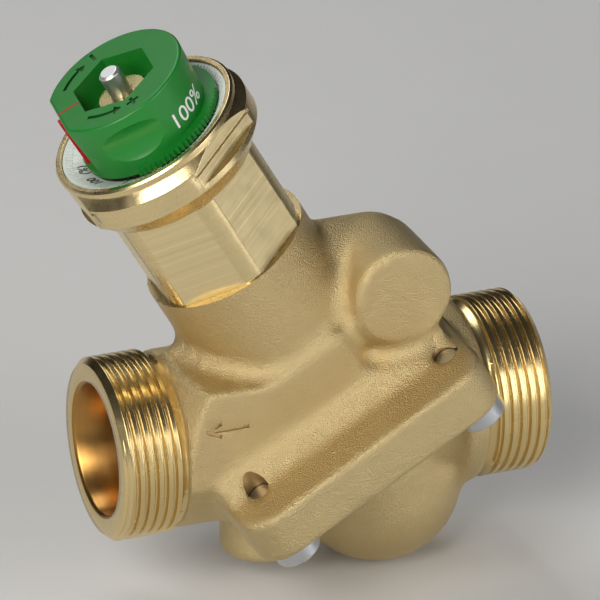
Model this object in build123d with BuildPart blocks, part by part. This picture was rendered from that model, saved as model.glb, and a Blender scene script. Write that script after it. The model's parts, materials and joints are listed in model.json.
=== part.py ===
from build123d import *
import os
from math import cos, radians, sin, sqrt, tan

# Pressure independent control valve, DN 15, with G 3/4 male ports.
# Frame: origin at the centre of the outlet port's end face, +X along the
# pipe towards the inlet port, +Z up. Units are millimetres.

# Ports, both alike
FACE_TO_FACE = 65.0
PORT_BORE_R = 9.4
PORT_BORE_DEPTH = 11.0
PORT_MOUTH_CHAMFER = 0.5
THREAD_R = 13.22
THREAD_LENGTH = 7.45
PORT_CHAMFER = 0.9
RELIEF_R = 12.3
RELIEF_LENGTH = 1.15
PORT_ROOT = 1.0

# Regulating axis, which leans towards the outlet
LEAN = 30.0
AXIS_X = 36.0

# Flanges that clamp the diaphragm; heights run along the leaning axis
PLATE_TO_OUTLET = 21.5
PLATE_TO_INLET = 19.9
PLATE_WIDTH = 45.0
PLATE_CORNER_R = 5.0
PARTING = 1.0
UPPER_PLATE_T = 4.6
LOWER_PLATE_T = 2.7
PLATE_GAP = 0.4
SCREW_SPACING_B = 32.4
SCREW_EDGE_DISTANCE = 7.2
SCREW_PAD_R = 4.2
SCREW_PAD_T = 0.4

# Upper casting
NECK_R = 12.27
NECK_TOP = 32.8
NECK_CHAMBER_R = 9.3
NECK_THREAD_R = 10.6
NECK_THREAD_DEPTH = 8.6
CHAMBER_FLOOR = 8.6
BLOCK_TO_OUTLET = 7.3
BLOCK_TO_INLET = 6.3
BLOCK_HALF_WIDTH = 13.2
BLOCK_TOP = 18.2
CAST_EDGE_R = 1.2
SHELF_TOP = 6.5
SHELF_INSET_INLET = 3.0
SHELF_INSET_OUTLET = 0.3
SHELF_HALF_WIDTH = 15.4
HIP_TOP = 10.0
HIP_TO_OUTLET = 21.0
HIP_TO_INLET = 6.0
HIP_HALF_WIDTH = 13.0
HIP_CORNER_R = 1.0
HUB_R = 12.8
HUB_FACE_Y = 13.0
HUB_FACE_BOTTOM_Z = -3.0
HUB_SHOULDER_Z = 12.0
HUB_TOP_Z = 14.2
HUB_LENGTH = 19.0
BARREL_X = 44.0
BARREL_R = 12.6
BARREL_TOP_Z = 12.2
BOSS_X = 41.8
BOSS_Z = 22.2
BOSS_R = 7.4
BOSS_FRONT = 13.0
BOSS_EDGE_R = 0.8
BRIDGE_R = 7.2
TOWER_WIDTH = 12.8
TOWER_FRONT = 8.0
TOWER_BACK = 6.0
ARROW_X = 12.2
ARROW_Z = 6.4
ARROW_LENGTH = 6.2
ARROW_BARB = 2.3
ARROW_BARB_ANGLE = 26.0
ARROW_WIDTH = 0.5
ARROW_DEPTH = 0.35

# Lower casting
DOME_R = 12.5
DOME_CENTRE = -13.5
FOOT_X = 25.4
FOOT_R = 6.3
FOOT_BOTTOM_Z = -19.9
FOOT_EDGE_R = 0.6
INLET_HUB_R = 13.6
INLET_HUB_LENGTH = 4.0
INLET_HUB_EDGE_R = 1.2
INLET_NECK_R = 11.6
INLET_NECK_LENGTH = 12.0

# Flow passages
OUTLET_PASSAGE_R = 5.0
OUTLET_PASSAGE_Z = 4.4
OUTLET_PASSAGE_END = 23.0
INLET_PASSAGE_R = 3.8
INLET_PASSAGE_Z = -6.1
INLET_PASSAGE_END = 46.0

# Running and seating clearances
FIT = 0.05
SEAL_GAP = 0.1
SEAL_SIDES = 8

# Flange screws, M4 with socket heads
SCREW_R = 2.0
SCREW_CORE_R = 1.65
SCREW_LENGTH = 8.0
SCREW_HEAD_R = 3.5
SCREW_HEAD_T = 4.0
SCREW_SOCKET_AF = 3.0
SCREW_SOCKET_DEPTH = 2.0
SCREW_CLEARANCE = 0.25
SCREW_EDGE = 0.35
SCREW_HEAD_ROOM = 0.4
SCREW_ROOM_DEPTH = 10.0

# Control seat, cone and stem
SEAT_BORE_R = 4.4
SEAT_R = 6.6
SEAT_T = 3.2
SEAT_PROUD = 1.0
SEAT_EDGE = 0.35
SEAT_ENTRY_R = 5.4
STROKE = 2.25
CONE_R = 5.75
CONE_T = 2.6
CONE_SEAL_T = 1.2
CONE_SEAL_R = 5.4
CONE_NOSE_R = 2.4
CONE_NOSE_PROUD = 0.2
CONE_HUB_R = 3.0
CONE_HUB_T = 3.4
CONE_SOCKET_FLOOR = 0.5
STEM_R = 1.6
STEM_TOP = 66.5
STEM_TIP = 0.35
CLIP_R = 3.6
CLIP_T = 0.8
CLIP_GROOVE_DEPTH = 0.3

# Bonnet, turned from bar
BONNET_R = 11.96
BONNET_FLAT_AF = 22.0
BONNET_FLAT_ANGLE = 30.0
BONNET_FLAT_TOP = 47.45
BONNET_STEP = 47.2
BONNET_STEP_R = 12.9
BONNET_STEP_TOP = 48.2
COLLAR_BOTTOM_R = 14.4
COLLAR_BOTTOM = 50.2
COLLAR_R = 14.8
COLLAR_TOP = 53.9
COLLAR_EDGE = 0.4
COLLAR_FLAT_AF = 26.8
COLLAR_FLATS = ((-60, 51.5), (60, 51.5), (180, 49.5))
COLLAR_SLOT = 0.3
COLLAR_SLOT_DEPTH = 0.3
COLLAR_SLOT_HEIGHT = 53.3
RIM_R = 13.95
RIM_BOTTOM = 55.6
RIM_TOP = 56.6
RIM_EDGE = 0.3
RIM_GROOVE_R = 13.5
RIM_GROOVE_BOTTOM = 55.2
RIM_BORE_R = 12.97
RIM_FLOOR = 53.8
BONNET_BORE_R = 7.0
BONNET_MOUTH_R = 9.0
BONNET_MOUTH = 51.0
BONNET_END = 25.6
BONNET_SEAL_CORD_R = 0.65

# Setting sleeve, its ring and the gland nut
SLEEVE_FLANGE_R = 8.7
SLEEVE_FLANGE_T = 1.35
SLEEVE_BORE_R = 4.2
SLEEVE_STEM_R = 2.2
SLEEVE_LEDGE = 40.6
SLEEVE_TOP = 60.4
SLEEVE_DRIVE_AF = 10.2
SLEEVE_DRIVE_BOTTOM = 53.8
SKIRT_BORE_R = 6.05
SKIRT_TOP = 24.0
SKIRT_BOTTOM = 10.0
WINDOW_BOTTOM = 11.4
WINDOW_HEIGHT = 6.4
WINDOW_WIDTH = 8.0
WINDOW_CORNER_R = 1.5
SLEEVE_SEAL_HEIGHT = 31.0
SLEEVE_SEAL_CORD_R = 0.52
RETAINER_R = 9.5
RETAINER_BORE_R = 7.4
RETAINER_T = 0.7
RETAINER_GAP = 3.0
GLAND_BOTTOM = 53.6
GLAND_TOP = 62.6
GLAND_HEAD_R = 3.6
GLAND_SLOT = 1.0
GLAND_SLOT_DEPTH = 0.9
STEM_SEAL_HEIGHT = 57.0
STEM_SEAL_CORD_R = 0.48

# Knob, pointer and dial
KNOB_BASE_R = 9.75
KNOB_TAPER = 4.2
KNOB_TOP = 65.0
KNOB_BASE = 55.9
KNOB_EDGE_R = 0.4
KNOB_SOCKET_AF = 11.2
KNOB_SOCKET_FLOOR = 60.8
KNOB_SOCKET_ANGLE = 24.0
KNOB_BASE_FLAT = 8.5
KNOB_SKIRT_R = 11.6
KNOB_SKIRT_T = 1.0
KNOB_SKIRT_START = -116.0
KNOB_SKIRT_SWEEP = 142.0
KNOB_TOOTH_DEPTH = 0.4
KNOB_TOOTH_STEP = 4.0
KNOB_TEETH = 24
GRIP_R = 4.6
GRIP_DEPTH = 1.0
GRIP_WIDTH = 8.6
GRIP_HEIGHT = 60.2
GRIP_ANGLES = (-108, 96)
POINTER_ANGLE = 174.0
POINTER_WIDTH = 1.3
POINTER_DEPTH = 0.5
POINTER_PROUD = 0.5
POINTER_TOP = 64.0
POINTER_FOOT_PROUD = 0.9
POINTER_BOTTOM = 54.8
DIAL_EDGE = 56.2
DIAL_INNER = 54.4
DIAL_BORE_R = 9.2
DIAL_LIP = 0.4

# Return spring round the stem
RETURN_WIRE = 0.8
RETURN_COIL_R = 2.9
RETURN_TURNS = 5

# Diaphragm and what it carries
DIAPHRAGM_R = 16.4
DIAPHRAGM_T = 1.0
DIAPHRAGM_ROLL_R = 11.2
DIAPHRAGM_ROLL_HALF = 1.5
DIAPHRAGM_ROLL_RISE = 1.2
UPPER_CHAMBER_R = 13.0
UPPER_CHAMBER_TOP = 4.6
LOWER_CHAMBER_R = 12.4
LOWER_CHAMBER_DEPTH = 0.9
BACKING_R = 9.4
BACKING_T = 0.9
NUT_AF = 12.4
NUT_T = 1.5

# Pressure regulator below the diaphragm
TUBE_R = 5.4
TUBE_BORE_R = 3.9
TUBE_BOTTOM = -14.5
TUBE_SPIGOT_R = 4.8
TUBE_FLANGE_R = 9.4
TUBE_FLANGE_T = 1.0
REGULATOR_STROKE = 1.8
GUIDE_TOP = -6.2
GUIDE_T = 2.0
GUIDE_R = 10.25
GUIDE_LEDGE = 0.6
GUIDE_SEAL_CORD_R = 0.48
REG_SEAT_R = 6.4
REG_SEAT_T = 2.0
REG_SEAT_POCKET = 0.8
REG_SPRING_WIRE = 0.9
REG_SPRING_COIL_R = 7.6
REG_SPRING_TURNS = 3

os.makedirs("parts", exist_ok=True)

# Planes and directions of the leaning axis
AXIS_UP = Vector(-sin(radians(LEAN)), 0, cos(radians(LEAN)))
AXIS_ACROSS = Vector(cos(radians(LEAN)), 0, sin(radians(LEAN)))
VALVE = Plane(origin=(AXIS_X, 0, 0), x_dir=AXIS_ACROSS, z_dir=AXIS_UP)
OUTLET = Plane(origin=(0, 0, 0), x_dir=(0, 0, 1), z_dir=(1, 0, 0))
INLET = Plane(origin=(FACE_TO_FACE, 0, 0), x_dir=(0, 0, 1), z_dir=(-1, 0, 0))
AXIAL = Plane(origin=VALVE.origin, x_dir=AXIS_ACROSS, z_dir=(0, -1, 0))
TOWARDS_OUTLET = Plane(origin=VALVE.origin, x_dir=(0, -1, 0), z_dir=-AXIS_ACROSS)
VALVE_AXIS = Axis(VALVE.origin, AXIS_UP)

# Heights and places that follow from the sizes above
THREAD_END = PORT_CHAMFER + THREAD_LENGTH
HUB_START = THREAD_END + RELIEF_LENGTH
SCREW_SPACING_Y = PLATE_WIDTH - 2 * SCREW_EDGE_DISTANCE
PLATE_LENGTH = PLATE_TO_OUTLET + PLATE_TO_INLET
PLATE_CENTRE = (PLATE_TO_INLET - PLATE_TO_OUTLET) / 2
UPPER_PLATE_TOP = PARTING + UPPER_PLATE_T
LOWER_PLATE_BOTTOM = PARTING - LOWER_PLATE_T
SCREW_SEAT = LOWER_PLATE_BOTTOM - SCREW_PAD_T
SCREW_END = SCREW_SEAT + SCREW_LENGTH
SCREW_POINTS = [
    (SCREW_SPACING_B / 2 * i, SCREW_SPACING_Y / 2 * j) for i in (-1, 1) for j in (-1, 1)
]
NECK_STEP = NECK_TOP - NECK_THREAD_DEPTH
SEAT_TOP = CHAMBER_FLOOR + SEAT_PROUD
SEAT_BOTTOM = SEAT_TOP - SEAT_T
CONE_SEAL_BOTTOM = SEAT_TOP + STROKE + SEAL_GAP
CONE_BOTTOM = CONE_SEAL_BOTTOM + CONE_SEAL_T
CONE_HUB_BOTTOM = CONE_BOTTOM + CONE_T
CONE_TOP = CONE_HUB_BOTTOM + CONE_HUB_T
STEM_BOTTOM = CONE_BOTTOM + CONE_SOCKET_FLOOR
CLIP_TOP = GLAND_BOTTOM - SEAL_GAP
CLIP_BOTTOM = CLIP_TOP - CLIP_T
CLIP_BORE_R = STEM_R - CLIP_GROOVE_DEPTH
SLEEVE_R = BONNET_BORE_R - FIT
SLEEVE_FLANGE_BOTTOM = BONNET_MOUTH + FIT
SLEEVE_FLANGE_TOP = SLEEVE_FLANGE_BOTTOM + SLEEVE_FLANGE_T
SLEEVE_NECK_R = SLEEVE_DRIVE_AF / sqrt(3) + SEAL_GAP
RETAINER_BOTTOM = SLEEVE_FLANGE_TOP + SEAL_GAP
RETAINER_TOP = RETAINER_BOTTOM + RETAINER_T
SLEEVE_GROOVE_R = BONNET_BORE_R - 2 * (SLEEVE_SEAL_CORD_R + FIT)
SLEEVE_SEAL_R = SLEEVE_GROOVE_R + SLEEVE_SEAL_CORD_R
STEM_SEAL_R = STEM_R + FIT + STEM_SEAL_CORD_R
GUIDE_BOTTOM = GUIDE_TOP - GUIDE_T
GUIDE_SEAL_HEIGHT = GUIDE_TOP - GUIDE_T / 2
GUIDE_SEAL_R = TUBE_R + FIT + GUIDE_SEAL_CORD_R
GUIDE_SEAT_R = GUIDE_R + FIT
REGULATOR_BORE_R = GUIDE_SEAT_R - GUIDE_LEDGE
DIAPHRAGM_BOTTOM = PARTING - DIAPHRAGM_T
LOWER_CHAMBER_FLOOR = DIAPHRAGM_BOTTOM - LOWER_CHAMBER_DEPTH
TUBE_FLANGE_BOTTOM = DIAPHRAGM_BOTTOM - TUBE_FLANGE_T
BACKING_TOP = PARTING + BACKING_T
NUT_TOP = BACKING_TOP + NUT_T
REG_SEAT_TOP = TUBE_BOTTOM - REGULATOR_STROKE - SEAL_GAP
REG_SEAT_BOTTOM = REG_SEAT_TOP - REG_SEAT_T
REGULATOR_FLOOR = REG_SEAT_BOTTOM + REG_SEAT_POCKET


def save(piece, name):
    """Label a finished sub-part and write it to its own STEP file."""
    piece.part.label = name
    export_step(piece.part, f"parts/{name}.step")


def at_height(height):
    """Plane across the leaning axis at a height above the pipe axis."""
    return VALVE.offset(height)


def turned(*points):
    """Solid of revolution on the leaning axis, from its (radius, height) outline."""
    with BuildPart() as piece:
        with BuildSketch(AXIAL):
            with BuildLine():
                Polyline(*points, close=True)
            make_face()
        revolve(axis=VALVE_AXIS)
    return piece.part


def drum(bottom, top, radius, centre=(0, 0)):
    """Round solid along the leaning axis, between two heights."""
    with BuildPart() as piece:
        with BuildSketch(at_height(bottom)):
            with Locations(centre):
                Circle(radius)
        extrude(amount=top - bottom)
    return piece.part


def seal(height, centre_r, cord_r):
    """Sealing ring on the leaning axis, with an eight-sided section in place of the round one."""
    with BuildPart() as piece:
        with BuildSketch(AXIAL):
            with Locations((centre_r, height)):
                RegularPolygon(cord_r, SEAL_SIDES)
        revolve(axis=VALVE_AXIS)
    return piece


def spring(bottom, top, coil_r, wire, turns):
    """Compression spring on the leaning axis, between two heights."""
    rise = top - bottom - wire
    path = at_height(bottom + wire / 2) * Helix(rise / turns, rise, coil_r)
    with BuildPart() as piece:
        with BuildSketch(Plane(origin=path @ 0, z_dir=path % 0)):
            Circle(wire / 2)
        sweep(path=path, is_frenet=True)
    return piece


def port(plane):
    """Outside of a port from its end plane: chamfer, thread at its full radius and relief."""
    points = (
        (0, 0),
        (0, THREAD_R - PORT_CHAMFER),
        (PORT_CHAMFER, THREAD_R),
        (THREAD_END, THREAD_R),
        (THREAD_END, RELIEF_R),
        (HUB_START + PORT_ROOT, RELIEF_R),
        (HUB_START + PORT_ROOT, 0),
    )
    side = Plane(origin=plane.origin, x_dir=plane.z_dir, z_dir=(0, -plane.z_dir.X, 0))
    with BuildPart() as piece:
        with BuildSketch(side):
            with BuildLine():
                Polyline(*points, close=True)
            make_face()
        revolve(axis=Axis(plane.origin, plane.z_dir))
    return piece.part


def port_bore(plane):
    """Round bore of a port with its chamfered mouth, from the end plane inwards."""
    with BuildPart() as piece:
        with BuildSketch(plane):
            Circle(PORT_BORE_R)
        extrude(amount=PORT_BORE_DEPTH)
        with BuildSketch(plane):
            Circle(PORT_BORE_R + PORT_MOUTH_CHAMFER)
        extrude(amount=PORT_MOUTH_CHAMFER, taper=45)
    return piece.part


def passage(plane, height_z, radius, length):
    """Straight flow passage behind a port bore."""
    with BuildPart() as piece:
        with BuildSketch(plane):
            with Locations(plane.to_local_coords(Vector(plane.origin.X, 0, height_z))):
                Circle(radius)
        extrude(amount=length)
    return piece.part


def plate(bottom, top, margin=0.0):
    """Flange plate between two heights, grown on its sides by a margin."""
    with BuildPart() as piece:
        with BuildSketch(at_height(bottom)):
            with Locations((PLATE_CENTRE, 0)):
                RectangleRounded(
                    PLATE_LENGTH + 2 * margin, PLATE_WIDTH + 2 * margin, PLATE_CORNER_R + margin
                )
        extrude(amount=top - bottom)
    return piece.part


def hip():
    """Top of the upper flange: a gentle shelf, then a steeper rise to the foot of the walls."""
    to_outlet = PLATE_TO_OUTLET - SHELF_INSET_OUTLET
    to_inlet = PLATE_TO_INLET - SHELF_INSET_INLET
    levels = (
        (UPPER_PLATE_TOP, PLATE_TO_OUTLET, PLATE_TO_INLET, PLATE_WIDTH / 2, PLATE_CORNER_R),
        (SHELF_TOP, to_outlet, to_inlet, SHELF_HALF_WIDTH, PLATE_CORNER_R / 2),
        (HIP_TOP, HIP_TO_OUTLET, HIP_TO_INLET, HIP_HALF_WIDTH, HIP_CORNER_R),
    )
    with BuildPart() as piece:
        for lower, upper in zip(levels, levels[1:]):
            for height, outlet_side, inlet_side, half_width, corner_r in (lower, upper):
                with BuildSketch(at_height(height)):
                    with Locations(((inlet_side - outlet_side) / 2, 0)):
                        RectangleRounded(outlet_side + inlet_side, 2 * half_width, corner_r)
            loft()
    return piece.part


def block():
    """Square block under the neck, with rounded cast edges."""
    with BuildPart() as piece:
        with BuildSketch(at_height(PARTING)):
            with Locations(((BLOCK_TO_INLET - BLOCK_TO_OUTLET) / 2, 0)):
                Rectangle(BLOCK_TO_INLET + BLOCK_TO_OUTLET, 2 * BLOCK_HALF_WIDTH)
        extrude(amount=BLOCK_TOP - PARTING)
        top = piece.faces().sort_by(VALVE_AXIS)[-1]
        fillet(top.edges() + piece.edges().filter_by(VALVE_AXIS), CAST_EDGE_R)
    return piece.part


def hub():
    """Body behind the outlet thread: round below and behind, faceted in front."""
    with BuildPart() as piece:
        with BuildSketch(Plane(origin=(HUB_START, 0, 0), x_dir=(0, 1, 0), z_dir=(1, 0, 0))):
            Circle(HUB_R)
            with BuildLine():
                Polyline(
                    (-HUB_FACE_Y, HUB_FACE_BOTTOM_Z),
                    (-HUB_FACE_Y, HUB_SHOULDER_Z),
                    (0, HUB_TOP_Z),
                    (0, HUB_FACE_BOTTOM_Z),
                    close=True,
                )
            make_face()
        extrude(amount=HUB_LENGTH)
    return piece.part


def barrel():
    """Round end over the diaphragm chamber, with its flat roof."""
    with BuildPart() as piece:
        with BuildSketch(Plane.XY.offset(BARREL_TOP_Z)):
            with Locations((BARREL_X, 0)):
                Circle(BARREL_R)
            with Locations(((AXIS_X + BARREL_X) / 2, 0)):
                Rectangle(BARREL_X - AXIS_X, 2 * BARREL_R)
        extrude(amount=-BARREL_TOP_Z - BARREL_R)
        fillet(piece.faces().sort_by(Axis.Z)[-1].edges(), CAST_EDGE_R)
        add(plate(PARTING, NECK_TOP), mode=Mode.INTERSECT)
    return piece.part


def side_boss():
    """Blind side boss with its flat disc, the bridge from the neck and the tower below."""
    facing_back = {"x_dir": (1, 0, 0), "z_dir": (0, 1, 0)}
    with BuildPart() as piece:
        with BuildSketch(Plane(origin=(BOSS_X, -BOSS_FRONT, BOSS_Z), **facing_back)):
            Circle(BOSS_R)
        extrude(amount=BOSS_FRONT)
        fillet(piece.faces().sort_by(Axis.Y)[0].edges(), BOSS_EDGE_R)
        with BuildSketch(Plane(origin=(AXIS_X - NECK_R, 0, BOSS_Z), x_dir=(0, 1, 0), z_dir=(1, 0, 0))):
            Circle(BRIDGE_R)
        extrude(amount=BOSS_X - AXIS_X + NECK_R)
        with Locations((BOSS_X, 0, BOSS_Z)):
            Sphere(BRIDGE_R)
        with BuildSketch(Plane(origin=(BOSS_X, -TOWER_FRONT, 0), **facing_back)):
            with Locations((0, -BOSS_Z / 2)):
                Rectangle(TOWER_WIDTH, BOSS_Z)
        extrude(amount=TOWER_FRONT + TOWER_BACK)
    return piece.part


def flow_arrow():
    """Engraved arrow on the hub's front facet, pointing to the outlet."""
    facet = Plane(origin=(ARROW_X, -HUB_FACE_Y, ARROW_Z), x_dir=(1, 0, 0), z_dir=(0, -1, 0))
    with BuildPart() as piece:
        with BuildSketch(facet):
            with Locations((ARROW_LENGTH / 2, 0)):
                Rectangle(ARROW_LENGTH, ARROW_WIDTH)
            for side in (-1, 1):
                with Locations(Location((0, 0, 0), (0, 0, side * ARROW_BARB_ANGLE))):
                    with Locations((ARROW_BARB / 2, 0)):
                        Rectangle(ARROW_BARB, ARROW_WIDTH)
        extrude(amount=ARROW_DEPTH, both=True)
    return piece.part


def inlet_hub():
    """Round body behind the inlet thread: a rounded collar and a narrower neck to the dome."""
    with BuildPart() as piece:
        with BuildSketch(INLET.offset(HUB_START)):
            Circle(INLET_HUB_R)
        extrude(amount=INLET_HUB_LENGTH)
        fillet(piece.edges().filter_by(GeomType.CIRCLE), INLET_HUB_EDGE_R)
        with BuildSketch(INLET.offset(HUB_START)):
            Circle(INLET_NECK_R)
        extrude(amount=INLET_NECK_LENGTH)
    return piece.part


def foot():
    """Round foot under the lower flange, from its flat end up to the pipe axis."""
    with BuildPart() as piece:
        with BuildSketch(Plane.XY.offset(FOOT_BOTTOM_Z)):
            with Locations((FOOT_X, 0)):
                Circle(FOOT_R)
        extrude(amount=-FOOT_BOTTOM_Z)
        fillet(piece.faces().sort_by(Axis.Z)[0].edges(), FOOT_EDGE_R)
    return piece.part


def toothed_skirt():
    """Part skirt at the knob's foot, with fine teeth along most of its edge."""
    smooth_end = KNOB_SKIRT_START + KNOB_SKIRT_SWEEP
    points = []
    for i in range(2 * KNOB_TEETH + 1):
        angle = radians(KNOB_SKIRT_START + i * KNOB_TOOTH_STEP / 2)
        radius = KNOB_SKIRT_R - KNOB_TOOTH_DEPTH * (i % 2)
        points.append((radius * cos(angle), radius * sin(angle)))
    with BuildPart() as piece:
        with BuildSketch(at_height(KNOB_BASE)):
            with BuildLine() as edge:
                Polyline((0, 0), *points)
                smooth_start = KNOB_SKIRT_START + KNOB_TEETH * KNOB_TOOTH_STEP
                CenterArc((0, 0), KNOB_SKIRT_R, smooth_start, smooth_end - smooth_start)
                Line(edge.line @ 1, (0, 0))
            make_face()
        extrude(amount=KNOB_SKIRT_T)
    return piece.part


def radial_plane(angle):
    """Plane through the leaning axis at an angle round it: local x outwards, local y upwards."""
    outwards = AXIS_ACROSS * cos(radians(angle)) + Vector(0, sin(radians(angle)), 0)
    return Plane(origin=VALVE.origin, x_dir=outwards, z_dir=outwards.cross(AXIS_UP))


def knob_flat(height):
    """Distance of the knob's leaning flat facet from its axis at a height."""
    return KNOB_BASE_FLAT + (height - KNOB_BASE) * tan(radians(KNOB_TAPER))


def pointer_bar():
    """Bar on the knob's flat facet, sunk into it, which reaches down to the dial."""
    with BuildPart() as piece:
        with BuildSketch(radial_plane(POINTER_ANGLE)):
            with BuildLine():
                Polyline(
                    (knob_flat(POINTER_TOP) - POINTER_DEPTH, POINTER_TOP),
                    (knob_flat(POINTER_TOP) + POINTER_PROUD, POINTER_TOP),
                    (KNOB_BASE_FLAT + POINTER_FOOT_PROUD, POINTER_BOTTOM),
                    (KNOB_BASE_FLAT, POINTER_BOTTOM),
                    (KNOB_BASE_FLAT - POINTER_DEPTH, KNOB_BASE),
                    close=True,
                )
            make_face()
        extrude(amount=POINTER_WIDTH / 2, both=True)
    return piece.part


def grip(angle):
    """Shallow finger trough across the knob's side."""
    with BuildPart() as piece:
        with BuildSketch(radial_plane(angle)):
            radius = KNOB_BASE_R + (GRIP_HEIGHT - KNOB_BASE) * tan(radians(KNOB_TAPER))
            with Locations((radius - GRIP_DEPTH + GRIP_R, GRIP_HEIGHT)):
                Circle(GRIP_R)
        extrude(amount=GRIP_WIDTH / 2, both=True)
    return piece.part


# Upper casting: outlet port, neck, side boss and upper flange in one piece
with BuildPart() as valve_body:
    add(plate(PARTING, UPPER_PLATE_TOP))
    add(hip())
    add(drum(PARTING, NECK_TOP, NECK_R))
    add(block())
    add(hub())
    add(barrel())
    add(side_boss())
    # Nothing of this casting lies under the parting plane within the flange
    add(plate(DOME_CENTRE - 2 * DOME_R, PARTING, PLATE_GAP), mode=Mode.SUBTRACT)
    add(port(OUTLET))
    # Port bore and the passage into the neck chamber
    add(port_bore(OUTLET), mode=Mode.SUBTRACT)
    add(
        passage(OUTLET, OUTLET_PASSAGE_Z, OUTLET_PASSAGE_R, OUTLET_PASSAGE_END),
        mode=Mode.SUBTRACT,
    )
    # Neck chamber, bonnet thread, seat pocket and diaphragm chamber
    add(
        turned(
            (0, PARTING),
            (UPPER_CHAMBER_R, PARTING),
            (UPPER_CHAMBER_R, UPPER_CHAMBER_TOP),
            (SEAT_ENTRY_R, UPPER_CHAMBER_TOP),
            (SEAT_ENTRY_R, SEAT_BOTTOM),
            (SEAT_R + FIT, SEAT_BOTTOM),
            (SEAT_R + FIT, CHAMBER_FLOOR),
            (NECK_CHAMBER_R, CHAMBER_FLOOR),
            (NECK_CHAMBER_R, NECK_STEP),
            (NECK_THREAD_R, NECK_STEP),
            (NECK_THREAD_R, NECK_TOP),
            (0, NECK_TOP),
        ),
        mode=Mode.SUBTRACT,
    )
    # Tapped screw holes, open at the top
    for point in SCREW_POINTS:
        add(drum(PARTING, SCREW_END + SEAL_GAP, SCREW_R + FIT, point), mode=Mode.SUBTRACT)
        add(drum(PARTING, HIP_TOP, SCREW_CORE_R, point), mode=Mode.SUBTRACT)
    add(flow_arrow(), mode=Mode.SUBTRACT)

# Lower casting: inlet port, dome, foot and lower flange in one piece
with BuildPart() as inlet_housing:
    add(inlet_hub())
    add(foot())
    add(port(INLET))
    # Space of the upper casting
    add(plate(PARTING, NECK_TOP, PLATE_GAP), mode=Mode.SUBTRACT)
    add(plate(LOWER_PLATE_BOTTOM, PARTING))
    add(drum(DOME_CENTRE, LOWER_PLATE_BOTTOM, DOME_R))
    with Locations(at_height(DOME_CENTRE).origin):
        Sphere(DOME_R)
    # Screw seats, clearance holes and room for the heads beside the hub
    for point in SCREW_POINTS:
        add(
            drum(SCREW_SEAT - SCREW_ROOM_DEPTH, SCREW_SEAT, SCREW_HEAD_R + SCREW_HEAD_ROOM, point),
            mode=Mode.SUBTRACT,
        )
        add(drum(SCREW_SEAT, LOWER_PLATE_BOTTOM, SCREW_PAD_R, point))
        add(drum(SCREW_SEAT, PARTING, SCREW_R + SCREW_CLEARANCE, point), mode=Mode.SUBTRACT)
    # Diaphragm recess, spring chamber, guide seat and regulator chamber
    with BuildSketch(AXIAL):
        with BuildLine():
            Polyline(
                (REG_SEAT_R + FIT, REGULATOR_FLOOR),
                (REG_SEAT_R + FIT, REG_SEAT_BOTTOM),
                (0, REG_SEAT_BOTTOM),
                (0, PARTING),
                (DIAPHRAGM_R + SEAL_GAP, PARTING),
                (DIAPHRAGM_R + SEAL_GAP, DIAPHRAGM_BOTTOM),
                (LOWER_CHAMBER_R, DIAPHRAGM_BOTTOM),
                (LOWER_CHAMBER_R, LOWER_CHAMBER_FLOOR),
                (GUIDE_SEAT_R, LOWER_CHAMBER_FLOOR),
                (GUIDE_SEAT_R, GUIDE_BOTTOM),
                (REGULATOR_BORE_R, GUIDE_BOTTOM),
                (REGULATOR_BORE_R, DOME_CENTRE),
            )
            floor_depth = DOME_CENTRE - REGULATOR_FLOOR
            RadiusArc(
                (REGULATOR_BORE_R, DOME_CENTRE),
                (sqrt(REGULATOR_BORE_R**2 - floor_depth**2), REGULATOR_FLOOR),
                REGULATOR_BORE_R,
            )
            Line(
                (sqrt(REGULATOR_BORE_R**2 - floor_depth**2), REGULATOR_FLOOR),
                (REG_SEAT_R + FIT, REGULATOR_FLOOR),
            )
        make_face()
    revolve(axis=VALVE_AXIS, mode=Mode.SUBTRACT)
    # Port bore and the passage into the regulator chamber
    add(port_bore(INLET), mode=Mode.SUBTRACT)
    add(
        passage(INLET, INLET_PASSAGE_Z, INLET_PASSAGE_R, FACE_TO_FACE - INLET_PASSAGE_END),
        mode=Mode.SUBTRACT,
    )

save(valve_body, "valve_body")
save(inlet_housing, "inlet_housing")

# Flange screws
for number, point in enumerate(SCREW_POINTS, start=1):
    with BuildPart() as cover_screw:
        add(drum(SCREW_SEAT - SCREW_HEAD_T, SCREW_SEAT, SCREW_HEAD_R, point))
        chamfer(cover_screw.faces().sort_by(VALVE_AXIS)[0].edges(), SCREW_EDGE)
        add(drum(SCREW_SEAT, SCREW_END, SCREW_R, point))
        chamfer(cover_screw.faces().sort_by(VALVE_AXIS)[-1].edges(), SCREW_EDGE)
        with BuildSketch(at_height(SCREW_SEAT - SCREW_HEAD_T)):
            with Locations(point):
                RegularPolygon(SCREW_SOCKET_AF / 2, 6, major_radius=False)
        extrude(amount=SCREW_SOCKET_DEPTH, mode=Mode.SUBTRACT)
    save(cover_screw, f"cover_screw_{number}")

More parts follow.
